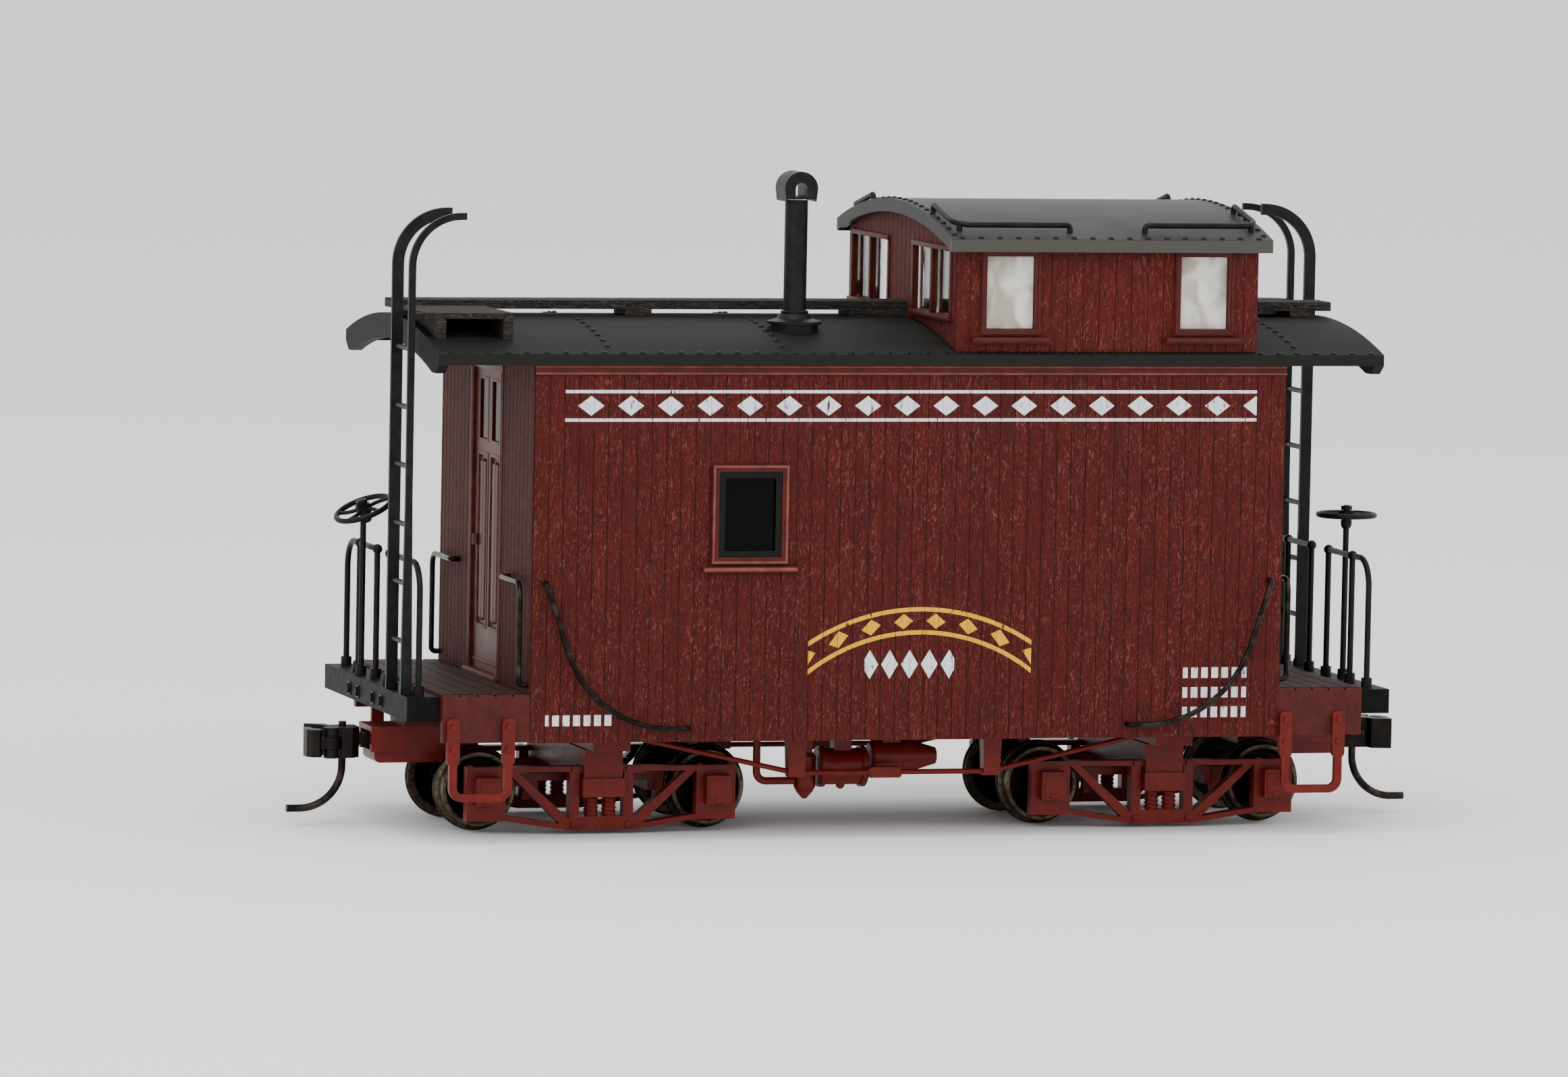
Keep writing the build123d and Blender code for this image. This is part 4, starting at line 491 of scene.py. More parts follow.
class Finishes:
    """Every finish of the car, made once and handed out by name."""

    RED = tint(77, 14, 9)
    RED_DARK = tint(50, 7, 5)
    # The third red is a painted highlight colour for the grain ridges of the boards.
    RED_RIDGE_HIGHLIGHT = tint(122, 70, 60)

    def __init__(self) -> None:
        """Makes the materials."""
        # Each board paint's third colour is a painted highlight for its grain ridges.
        self.boards = BoardPaint("Body_boards", self.RED, self.RED_DARK, self.RED_RIDGE_HIGHLIGHT, lining=True).make()
        self.end_boards = BoardPaint(
            "End_boards", tint(66, 15, 10), tint(38, 6, 5), tint(112, 62, 52), roughness=0.66
        ).make()
        self.cupola_boards = BoardPaint(
            "Cupola_boards", tint(81, 17, 11), tint(56, 8, 6), tint(122, 66, 56)
        ).make()
        self.deck_boards = BoardPaint(
            "Deck_boards", tint(50, 18, 13), tint(28, 6, 5), tint(96, 56, 48), Grain.ACROSS, 0.6
        ).make()
        self.walk_boards = BoardPaint(
            "Roof_walk_boards", tint(42, 38, 35), tint(18, 17, 16), tint(96, 84, 76), Grain.ALONG, 0.7
        ).make()
        self.body = MouldedPaint(
            "Body_paint", tint(72, 19, 13), tint(56, 11, 8), tint(108, 58, 48), 0.5, 0.15
        ).make()
        self.trim = MouldedPaint(
            "Trim_paint", tint(120, 63, 54), tint(102, 46, 38), tint(150, 100, 88), 0.46, 0.25
        ).make()
        self.door = MouldedPaint(
            "Door_paint", tint(86, 50, 44), tint(66, 31, 26), tint(122, 90, 80), 0.42, 0.3
        ).make()
        self.gear = MouldedPaint(
            "Running_gear_red", tint(96, 18, 11), tint(80, 13, 8), tint(124, 50, 38), 0.36, 0.12
        ).make()
        self.iron = MouldedPaint(
            "Black_iron_paint", tint(24, 24, 22), tint(13, 13, 12), tint(60, 58, 54), 0.38, 0.15, 0.12
        ).make()
        self.sill = MouldedPaint(
            "End_sill_paint", tint(17, 17, 16), tint(9, 9, 9), tint(50, 50, 46), 0.5, 0.06, 0.06
        ).make()
        self.roof = RoofSheet(
            "Main_roof_sheet", tint(31, 31, 29), tint(21, 21, 20), tint(27, 27, 25), 63.5, 25.0, 0.6
        ).make()
        self.cupola_roof = RoofSheet(
            "Cupola_roof_sheet", tint(58, 58, 56), tint(38, 38, 37), tint(66, 65, 61), 78.6, 25.8, 0.42
        ).make()
        # The rivet heads are near-black, darker than the roof sheet, as painted shade standing for the shadows
        # round them.
        self.rivet = Metal("Rivet_heads", tint(8, 8, 8), tint(18, 18, 18), 0.0, 0.42).make()
        self.sash = MouldedPaint(
            "Sash_black", tint(8, 8, 8), tint(5, 5, 5), tint(40, 40, 40), 0.16, 0.03, 0.15
        ).make()
        self.wire = Metal("Blackened_wire", tint(24, 19, 17), tint(78, 68, 62), 0.75, 0.3).make()
        self.steel = Metal("Oiled_steel", tint(60, 56, 52), tint(120, 114, 106), 0.9, 0.3).make()
        self.coupler = Metal("Coupler_casting", tint(13, 8, 6), tint(34, 25, 20), 0.15, 0.42, 0.03).make()
        # The near-black body glazing and its dark red door panes are painted shade for the unlit interior.
        self.window = Glazing("Body_glazing", tint(4, 4, 4), tint(46, 10, 8), 0.0, 0.06, 0.07).make()
        pale = tint(246, 246, 242)
        self.clear = Glazing("Cupola_glazing_clear", pale, pale, 1.0, 0.1, 0.03).make()

    def wheel(self, name: str, centre: Vector) -> bpy.types.Material:
        """The wheel finish centred on one axle."""
        return TurnedWheel(name, centre.x, centre.z).make()


# ---- mesh stock -----------------------------------------------------------------------------


class Stock:
    """Mesh stock in millimetres that small pieces are built from."""

    def __init__(self) -> None:
        """Starts with nothing in it."""
        self.mesh = bmesh.new()

    def block(self, low: Sequence[float], high: Sequence[float], bevel: float = 0.0) -> None:
        """Adds a box between two opposite corners, given in any order.

        Args:
            low: one corner.
            high: the other corner.
            bevel: width of the rounding on its edges.
        """
        middle = [(a + b) / 2 for a, b in zip(low, high)]
        size = [abs(b - a) for a, b in zip(low, high)]
        place = Matrix.Translation(middle) @ Matrix.Diagonal((*size, 1))
        made = bmesh.ops.create_cube(self.mesh, size=1.0, matrix=place)
        if bevel > 0:
            edges = list(dict.fromkeys(edge for vert in made["verts"] for edge in vert.link_edges))
            bmesh.ops.bevel(self.mesh, geom=edges, offset=bevel, segments=2, profile=0.6, affect="EDGES")

    def rod(self, points: Sequence[Sequence[float]], radius: float, sides: int = 10) -> None:
        """Adds a round bar that follows points, closed at both ends.

        Args:
            points: the centre line.
            radius: the bar's radius.
            sides: flats round the bar.
        """
        line = [Vector(p) for p in points]
        rings = []
        turn = None
        for index, point in enumerate(line):
            ahead = line[min(index + 1, len(line) - 1)] - line[max(index - 1, 0)]
            ahead.normalize()
            if turn is None:
                guide = Vector((0, 0, 1)) if abs(ahead.z) < 0.9 else Vector((1, 0, 0))
                turn = ahead.cross(guide).normalized()
            turn = (turn - ahead * turn.dot(ahead)).normalized()
            other = ahead.cross(turn)
            rings.append(
                [
                    self.mesh.verts.new(
                        point
                        + turn * math.cos(2 * math.pi * k / sides) * radius
                        + other * math.sin(2 * math.pi * k / sides) * radius
                    )
                    for k in range(sides)
                ]
            )
        for first, second in zip(rings, rings[1:]):
            for k in range(sides):
                after = (k + 1) % sides
                self.mesh.faces.new((first[k], first[after], second[after], second[k]))
        self.mesh.faces.new(list(reversed(rings[0])))
        self.mesh.faces.new(rings[-1])

    def ring(
        self, low: Sequence[float], high: Sequence[float], bar: float, face: float, depth: float
    ) -> None:
        """Adds a raised rectangular bead on an end wall.

        Args:
            low: lowest Y and Z.
            high: highest Y and Z.
            bar: width of the bead.
            face: X of the wall.
            depth: how far it stands out along X.
        """
        for y0, y1, z0, z1 in (
            (low[0], low[0] + bar, low[1], high[1]),
            (high[0] - bar, high[0], low[1], high[1]),
            (low[0] + bar, high[0] - bar, low[1], low[1] + bar),
            (low[0] + bar, high[0] - bar, high[1] - bar, high[1]),
        ):
            self.block((face - 0.02, y0, z0), (face + depth, y1, z1), min(bar, depth) * 0.3)

    def half_turn(self) -> None:
        """Adds a copy of everything, turned half a turn about Z."""
        copy = self.mesh.copy()
        bmesh.ops.rotate(copy, cent=(0, 0, 0), matrix=Matrix.Rotation(math.pi, 3, "Z"), verts=copy.verts)
        mesh = bpy.data.meshes.new("turned_copy")
        copy.to_mesh(mesh)
        copy.free()
        self.mesh.from_mesh(mesh)
        bpy.data.meshes.remove(mesh)

    def piece(self, name: str, material: bpy.types.Material, body: str, slot: str) -> bpy.types.Object:
        """Turns the stock into a piece on a body.

        Args:
            name: the piece's name.
            material: its finish.
            body: the body that it rides on.
            slot: the record's material slot.

        Returns:
            The new object.
        """
        bmesh.ops.recalc_face_normals(self.mesh, faces=self.mesh.faces)
        bmesh.ops.scale(self.mesh, vec=(MM, MM, MM), verts=self.mesh.verts)
        mesh = bpy.data.meshes.new(name)
        self.mesh.to_mesh(mesh)
        self.mesh.free()
        return settle(mesh, name, material, body, slot)


def settle(
    mesh: bpy.types.Mesh, name: str, material: bpy.types.Material, body: str, slot: str
) -> bpy.types.Object:
    """Puts a finished mesh into the scene as a piece on a body.

    Args:
        mesh: the mesh, in metres, with its place in it.
        name: the piece's name.
        material: its finish.
        body: the body that it rides on.
        slot: not used.

    Returns:
        The new object.
    """
    mesh.materials.clear()
    mesh.materials.append(material)
    mesh.polygons.foreach_set("use_smooth", [True] * len(mesh.polygons))
    mesh.set_sharp_from_angle(angle=math.radians(38))
    piece = bpy.data.objects.new(name, mesh)
    bpy.context.scene.collection.objects.link(piece)
    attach(piece, body)
    LOG.info("%s: %d faces on %s", name, len(mesh.polygons), body)
    return piece


# ---- geometry node trees --------------------------------------------------------------------


class Tree:
    """A geometry node tree with named inputs, run once on a mesh of points."""

    def __init__(self, name: str, inputs: dict[str, tuple[str, Any]]) -> None:
        """Starts a tree.

        Args:
            name: the tree's name.
            inputs: socket type and default value by input name.
        """
        self.group = bpy.data.node_groups.new(name, "GeometryNodeTree")
        face = self.group.interface
        face.new_socket("Geometry", in_out="INPUT", socket_type="NodeSocketGeometry")
        self.keys = {}
        for label, (kind, value) in inputs.items():
            socket = face.new_socket(label, in_out="INPUT", socket_type="NodeSocket" + kind)
            if value is not None:
                socket.default_value = value
            self.keys[label] = socket.identifier
        face.new_socket("Geometry", in_out="OUTPUT", socket_type="NodeSocketGeometry")
        self.given = self.group.nodes.new("NodeGroupInput").outputs

    def node(self, kind: str, inputs: dict[Any, Any] | None = None, **settings: Any) -> Any:
        """Adds a node, as Shader.node does, with its full type name."""
        made = self.group.nodes.new(kind)
        for key, value in settings.items():
            setattr(made, key, value)
        for key, value in (inputs or {}).items():
            if isinstance(value, bpy.types.NodeSocket):
                self.group.links.new(value, made.inputs[key])
            else:
                made.inputs[key].default_value = value
        return made

    def maths(self, operation: str, first: Any, second: Any = 0.0, third: Any = 0.0) -> Any:
        """The output of one Math node on numbers or sockets."""
        return self.node("ShaderNodeMath", {0: first, 1: second, 2: third}, operation=operation).outputs[0]

    def read(self, name: str, kind: str) -> Any:
        """A named attribute's value."""
        return self.node("GeometryNodeInputNamedAttribute", {"Name": name}, data_type=kind).outputs[0]

    def end(self, geometry: Any) -> None:
        """Realizes the instances, sets the finish and closes the tree."""
        real = self.node("GeometryNodeRealizeInstances", {0: geometry}).outputs[0]
        self.close(real)

    def close(self, geometry: Any) -> None:
        """Sets the finish on plain geometry and joins it to the output."""
        inputs = {"Geometry": geometry, "Material": self.given["Finish"]}
        dressed = self.node("GeometryNodeSetMaterial", inputs)
        out = self.group.nodes.new("NodeGroupOutput")
        self.group.links.new(dressed.outputs[0], out.inputs[0])

    def run(self, points: bpy.types.Mesh, values: dict[str, Any]) -> bpy.types.Mesh:
        """Runs the tree on a mesh.

        Args:
            points: the mesh that it starts from.
            values: inputs by name.

        Returns:
            The result as a plain mesh.
        """
        holder = bpy.data.objects.new("holder", points)
        bpy.context.scene.collection.objects.link(holder)
        modifier = holder.modifiers.new("tree", "NODES")
        modifier.node_group = self.group
        for label, value in values.items():
            modifier[self.keys[label]] = value
        holder.update_tag()
        graph = bpy.context.evaluated_depsgraph_get()
        graph.update()
        result = bpy.data.meshes.new_from_object(holder.evaluated_get(graph))
        holder.modifiers.clear()
        bpy.data.objects.remove(holder)
        bpy.data.meshes.remove(points)
        return result


def point_mesh(rows: Sequence[dict[str, Any]]) -> bpy.types.Mesh:
    """A mesh of loose points with attributes.

    Args:
        rows: for each point its "at" in millimetres, and its other values, numbers or vectors.

    Returns:
        The mesh, in metres.
    """
    mesh = bpy.data.meshes.new("points")
    mesh.from_pydata([tuple(c * MM for c in row["at"]) for row in rows], [], [])
    for key, first in rows[0].items():
        if key == "at":
            continue
        vector = not isinstance(first, (int, float))
        attribute = mesh.attributes.new(key, "FLOAT_VECTOR" if vector else "FLOAT", "POINT")
        for index, row in enumerate(rows):
            if vector:
                attribute.data[index].vector = row[key]
            else:
                attribute.data[index].value = row[key]
    return mesh


class BoardTree(Tree):
    """Boards with rounded edges and a wavy grain, one for each point."""

    TONE_STEP = 37.0
    EDGE_POWER = 7.0

    def __init__(self) -> None:
        """Writes the tree."""
        super().__init__(
            "Boards",
            {
                "Across": ("Int", 7),
                "Along": ("Int", 60),
                "Relief": ("Float", 0.00009),
                "Round": ("Float", 0.00006),
                "Grain": ("Vector", (1.0, 1.0, 1.0)),
                "Seed": ("Float", 3.0),
                "Finish": ("Material", None),
            },
        )
        size = self.node("ShaderNodeCombineXYZ", {0: 1.0, 1: 1.0, 2: 1.0}).outputs[0]
        cube = self.node(
            "GeometryNodeMeshCube",
            {
                "Size": size,
                "Vertices X": self.given["Across"],
                "Vertices Y": self.given["Along"],
                "Vertices Z": 2,
            },
        ).outputs[0]
        where = self.node("ShaderNodeSeparateXYZ", {0: self.node("GeometryNodeInputPosition").outputs[0]})
        edge = self.maths("MULTIPLY", self.maths("ABSOLUTE", where.outputs[0]), 2.0)
        lid = self.maths("GREATER_THAN", where.outputs[2], 0.0)
        for name, value in (("edge", edge), ("lid", lid)):
            cube = self.node(
                "GeometryNodeStoreNamedAttribute",
                {"Geometry": cube, "Name": name, "Value": value},
                data_type="FLOAT",
                domain="POINT",
            ).outputs[0]
        turn = self.node("FunctionNodeEulerToRotation", {0: self.read("turn", "FLOAT_VECTOR")}).outputs[0]
        boards = self.node(
            "GeometryNodeInstanceOnPoints",
            {
                "Points": self.given["Geometry"],
                "Instance": cube,
                "Rotation": turn,
                "Scale": self.read("span", "FLOAT_VECTOR"),
            },
        ).outputs[0]
        real = self.node("GeometryNodeRealizeInstances", {0: boards}).outputs[0]
        position = self.node("GeometryNodeInputPosition").outputs[0]
        grain = self.node(
            "ShaderNodeVectorMath", {0: position, 1: self.given["Grain"]}, operation="MULTIPLY"
        ).outputs[0]
        phase = self.maths("MULTIPLY_ADD", self.read("tone", "FLOAT"), self.TONE_STEP, self.given["Seed"])
        wave = self.node(
            "ShaderNodeTexNoise",
            {"Vector": grain, "W": phase, "Scale": 1.0, "Detail": 2.5, "Distortion": 1.4},
            noise_dimensions="4D",
        ).outputs[0]
        rise = self.maths("MULTIPLY", self.maths("SUBTRACT", wave, 0.5), self.given["Relief"])
        rounded = self.maths("POWER", self.read("edge", "FLOAT"), self.EDGE_POWER)
        fall = self.maths("MULTIPLY", rounded, self.given["Round"])
        flat = self.maths("SUBTRACT", 1.0, rounded)
        height = self.maths("SUBTRACT", self.maths("MULTIPLY", rise, flat), fall)
        height = self.maths("MULTIPLY", height, self.read("lid", "FLOAT"))
        offset = self.node(
            "ShaderNodeVectorMath",
            {0: self.read("face", "FLOAT_VECTOR"), "Scale": height},
            operation="SCALE",
        ).outputs[0]
        self.close(self.node("GeometryNodeSetPosition", {"Geometry": real, "Offset": offset}).outputs[0])


class RivetTree(Tree):
    """Low domed heads on points, each facing along its own normal."""

    def __init__(self) -> None:
        """Writes the tree."""
        super().__init__(
            "Rivets",
            {"Radius": ("Float", 0.0003), "Dome": ("Float", 0.6), "Finish": ("Material", None)},
        )
        head = self.node(
            "GeometryNodeMeshUVSphere", {"Segments": 8, "Rings": 5, "Radius": self.given["Radius"]}
        ).outputs[0]
        align = self.node(
            "FunctionNodeAlignEulerToVector", {"Vector": self.read("face", "FLOAT_VECTOR")}, axis="Z"
        ).outputs[0]
        scale = self.node("ShaderNodeCombineXYZ", {0: 1.0, 1: 1.0, 2: self.given["Dome"]}).outputs[0]
        self.end(
            self.node(
                "GeometryNodeInstanceOnPoints",
                {"Points": self.given["Geometry"], "Instance": head, "Rotation": align, "Scale": scale},
            ).outputs[0]
        )


class CoilTree(Tree):
    """Coil springs that stand on points and turn with each point's own rotation."""

    def __init__(self) -> None:
        """Writes the tree."""
        super().__init__(
            "Coils",
            {
                "Turns": ("Float", 4.0),
                "Radius": ("Float", 0.0009),
                "Height": ("Float", 0.0028),
                "Wire": ("Float", 0.0002),
                "Finish": ("Material", None),
            },
        )
        helix = self.node(
            "GeometryNodeCurveSpiral",
            {
                "Resolution": 14,
                "Rotations": self.given["Turns"],
                "Start Radius": self.given["Radius"],
                "End Radius": self.given["Radius"],
                "Height": self.given["Height"],
            },
        ).outputs[0]
        wire = self.node(
            "GeometryNodeCurvePrimitiveCircle", {"Resolution": 8, "Radius": self.given["Wire"]}
        ).outputs[0]
        spring = self.node(
            "GeometryNodeCurveToMesh", {"Curve": helix, "Profile Curve": wire, "Fill Caps": True}
        ).outputs[0]
        turn = self.node("FunctionNodeEulerToRotation", {0: self.read("turn", "FLOAT_VECTOR")}).outputs[0]
        self.end(
            self.node(
                "GeometryNodeInstanceOnPoints",
                {"Points": self.given["Geometry"], "Instance": spring, "Rotation": turn},
            ).outputs[0]
        )


@dataclass
class Boarding:
    """One run of boards, laid as points for a board tree."""

    proud: float = 0.14
    gap: float = 0.05

    def __post_init__(self) -> None:
        """Starts with no boards."""
        self.rows: list[dict[str, Any]] = []

    def lay(self, centre: Point, width: float, length: float, face: Point, turn: Point) -> None:
        """Lays one board.

        Args:
            centre: middle of the board's back, in millimetres.
            width: across the board, joint included.
            length: along the board.
            face: the way that its face looks.
            turn: rotation that takes X to its width and Y to its length.
        """
        tone = (math.sin(len(self.rows) * 12.9898 + centre[2]) * 43758.5453) % 1.0
        thick = self.proud + 0.06
        at = [c + f * (self.proud - 0.06) / 2 for c, f in zip(centre, face)]
        span = ((width - self.gap) * MM, length * MM, thick * MM)
        self.rows.append({"at": at, "span": span, "face": face, "turn": turn, "tone": tone})

    def side(self, x0: float, x1: float, z0: float, z1: float, face: float) -> None:
        """Lays an upright board on the near side wall and its twin on the far one.

        Args:
            x0: its left edge on the near side.
            x1: its right edge.
            z0: its foot.
            z1: its head.
            face: distance of the wall from the middle of the car.
        """
        middle, height = (x0 + x1) / 2, (z0 + z1) / 2
        up = math.pi / 2
        self.lay((middle, -face, height), x1 - x0, z1 - z0, (0, -1, 0), (up, 0, 0))
        self.lay((-middle, face, height), x1 - x0, z1 - z0, (0, 1, 0), (up, 0, math.pi))

    def end_wall(self, y0: float, y1: float, z0: float, z1: float, x: float, way: float) -> None:
        """Lays an upright board on a wall that looks along X.

        Args:
            y0: one edge along Y.
            y1: its other edge along Y.
            z0: its foot.
            z1: its head.
            x: the wall.
            way: 1 where the wall looks along +X, else -1.
        """
        turn = (math.pi / 2, 0, math.pi / 2 * way)
        self.lay((x, (y0 + y1) / 2, (z0 + z1) / 2), abs(y1 - y0), z1 - z0, (way, 0, 0), turn)

    def piece(
        self, name: str, finish: bpy.types.Material, slot: str, tree: BoardTree, grain: Point, **values: float
    ) -> None:
        """Runs the board tree over the run and puts the boards on the car.

        Args:
            name: the piece's name.
            finish: its material.
            slot: the record's material slot.
            tree: the board tree.
            grain: size of the grain's waves, in millimetres, along X, Y and Z.
            values: other inputs of the tree.
        """
        scale = [1 / (size * MM) for size in grain]
        mesh = tree.run(point_mesh(self.rows), {"Grain": scale, "Finish": finish, **values})
        settle(mesh, name, finish, "car", slot)


# ---- the car --------------------------------------------------------------------------------


@dataclass
class Arch:
    """The line of an arched roof."""

    width: float
    crown: float
    rise: float

    def at(self, y: float, drop: float = 0.0) -> float:
        """Height of the roof at Y, or of a line below it by drop."""
        radius = (self.width**2 / 4 + self.rise**2) / (2 * self.rise)
        return self.crown - radius + math.sqrt((radius - drop) ** 2 - y * y)

    def normal(self, y: float) -> Point:
        """The way that the sheet looks at Y."""
        radius = (self.width**2 / 4 + self.rise**2) / (2 * self.rise)
        return (0.0, y / radius, math.sqrt(1 - (y / radius) ** 2))


MAIN_ARCH = Arch(51.2, 67.2, 3.66)
CUPOLA_ARCH = Arch(53.28, 82.6, 3.93)
ROOF_SHEET = 1.2


@dataclass
class Body:
    """The boarded body with its doors and windows."""

    half_length: float = 51.0
    half_width: float = 24.4
    bottom: float = 13.1
    pitch: float = 1.96
    letterboard: float = 60.83
    window_x: float = -22.0
    window_z: float = 42.68
    window_half: Point = (4.25, 5.5, 1.0)
    door_half: float = 7.3
    door_face: float = 50.7
    deck: float = 19.45

    def boards(self, finishes: Finishes, tree: BoardTree) -> None:
        """Boards both sides and both ends."""
        across, up, bar = self.window_half
        cut = (self.window_x - across, self.window_x + across)
        low, high = self.window_z - up - bar + 0.2, self.window_z + up + bar - 0.2
        edges = [-self.half_length] + [k * self.pitch for k in range(-25, 26)] + [self.half_length]
        run = Boarding()
        for x0, x1 in zip(edges, edges[1:]):
            if x1 > cut[0] and x0 < cut[1]:
                run.side(x0, x1, self.bottom, low, self.half_width)
                run.side(x0, x1, high, self.letterboard, self.half_width)
            else:
                run.side(x0, x1, self.bottom, self.letterboard, self.half_width)
        run.piece("side_boards", finishes.boards, "oxide_red", tree, (0.62, 0.62, 2.6), Along=64)
        run = Boarding()
        casing = self.door_half + 1.1
        limits = [casing] + [k * self.pitch for k in range(5, 13)] + [self.half_width - 0.02]
        for sign in (-1, 1):
            for way in (-1, 1):
                for y0, y1 in zip(limits, limits[1:]):
                    top = MAIN_ARCH.at(y1, ROOF_SHEET)
                    run.end_wall(sign * y0, sign * y1, self.deck, top, way * self.half_length, way)
        grain = (0.5, 0.5, 3.4)
        run.piece("end_boards", finishes.end_boards, "oxide_red", tree, grain, Along=54, Seed=11.0)

    def doors(self, finishes: Finishes) -> None:
        """Beads, rails and sills of both doors."""
        stock = Stock()
        face = self.door_face
        for left, right in ((-5.5, -0.9), (0.9, 5.5)):
            stock.ring((left - 0.45, 25.65), (right + 0.45, 48.85), 0.42, face, 0.09)
            stock.ring((left - 0.1, 50.2), (right + 0.1, 58.8), 0.4, face, 0.06)
            stock.block((face - 0.32, left + 0.85, 26.9), (face + 0.05, right - 0.85, 47.6), 0.12)
            stock.block((face - 0.3, left + 2.18, 26.6), (face + 0.09, right - 2.18, 47.9), 0.04)
        stock.block((face, -self.door_half, 21.1), (face + 0.16, self.door_half, 21.5), 0.06)
        stock.half_turn()
        stock.piece("door_beads", finishes.door, "car", "oxide_red")
        stock = Stock()
        face = self.half_length + 0.14
        stock.block((face - 0.3, -8.5, 19.45), (face + 0.75, 8.5, 20.15), 0.15)
        for side in (-1, 1):
            stock.block((face - 0.1, side * 7.35, 20.15), (face + 0.12, side * 8.35, 60.9), 0.06)
            stock.block((face + 0.02, side * 7.65, 20.2), (face + 0.2, side * 7.95, 60.2), 0.05)
        stock.block((face - 0.1, -8.5, 59.95), (face + 0.2, 8.5, 61.0), 0.1)
        stock.half_turn()
        stock.piece("door_casings", finishes.door, "car", "oxide_red")

    def windows(self, finishes: Finishes) -> None:
        """Mouldings round the side windows, over the sash and along the eave."""
        stock = Stock()
        across, up, bar = self.window_half
        face = -self.half_width - 0.45
        x0, x1 = self.window_x - across - 0.95, self.window_x + across + 0.95
        z0, z1 = self.window_z - up - 1.0, self.window_z + up + 1.0
        for a0, a1, b0, b1 in (
            (x0 + 0.12, x0 + 0.42, z0 + 0.1, z1 - 0.1),
            (x1 - 0.42, x1 - 0.12, z0 + 0.1, z1 - 0.1),
            (x0 + 0.42, x1 - 0.42, z1 - 0.42, z1 - 0.12),
            (x0 + 0.42, x1 - 0.42, z0 + 0.12, z0 + 0.42),
        ):
            stock.block((a0, face - 0.12, b0), (a1, face + 0.02, b1), 0.05)
        sill = self.window_z - up - bar - 0.25
        stock.block(
            (self.window_x - 6.3, -self.half_width - 1.12, sill - 0.58),
            (self.window_x + 6.3, -self.half_width - 0.9, sill - 0.14),
            0.1,
        )
        stock.half_turn()
        stock.piece("window_mouldings", finishes.trim, "car", "oxide_red")
        stock = Stock()
        bead = 0.16
        for z, out in ((61.0, 0.5), (61.9, 0.46)):
            y = -self.half_width - out + bead
            stock.rod([(-self.half_length, y, z), (self.half_length, y, z)], bead, 8)
        stock.half_turn()
        stock.piece("letterboard_beads", finishes.trim, "car", "oxide_red")

    def dress(self, finishes: Finishes) -> None:
        """Gives the body's own nodes their finishes."""
        dress(("body_shell", "floor_pan"), finishes.body)
        dress(("end_doors",), finishes.door)
        dress(("side_window_sashes",), finishes.sash)
        dress(("window_glazing",), finishes.window)
        dress(("ballast_weight",), finishes.steel)


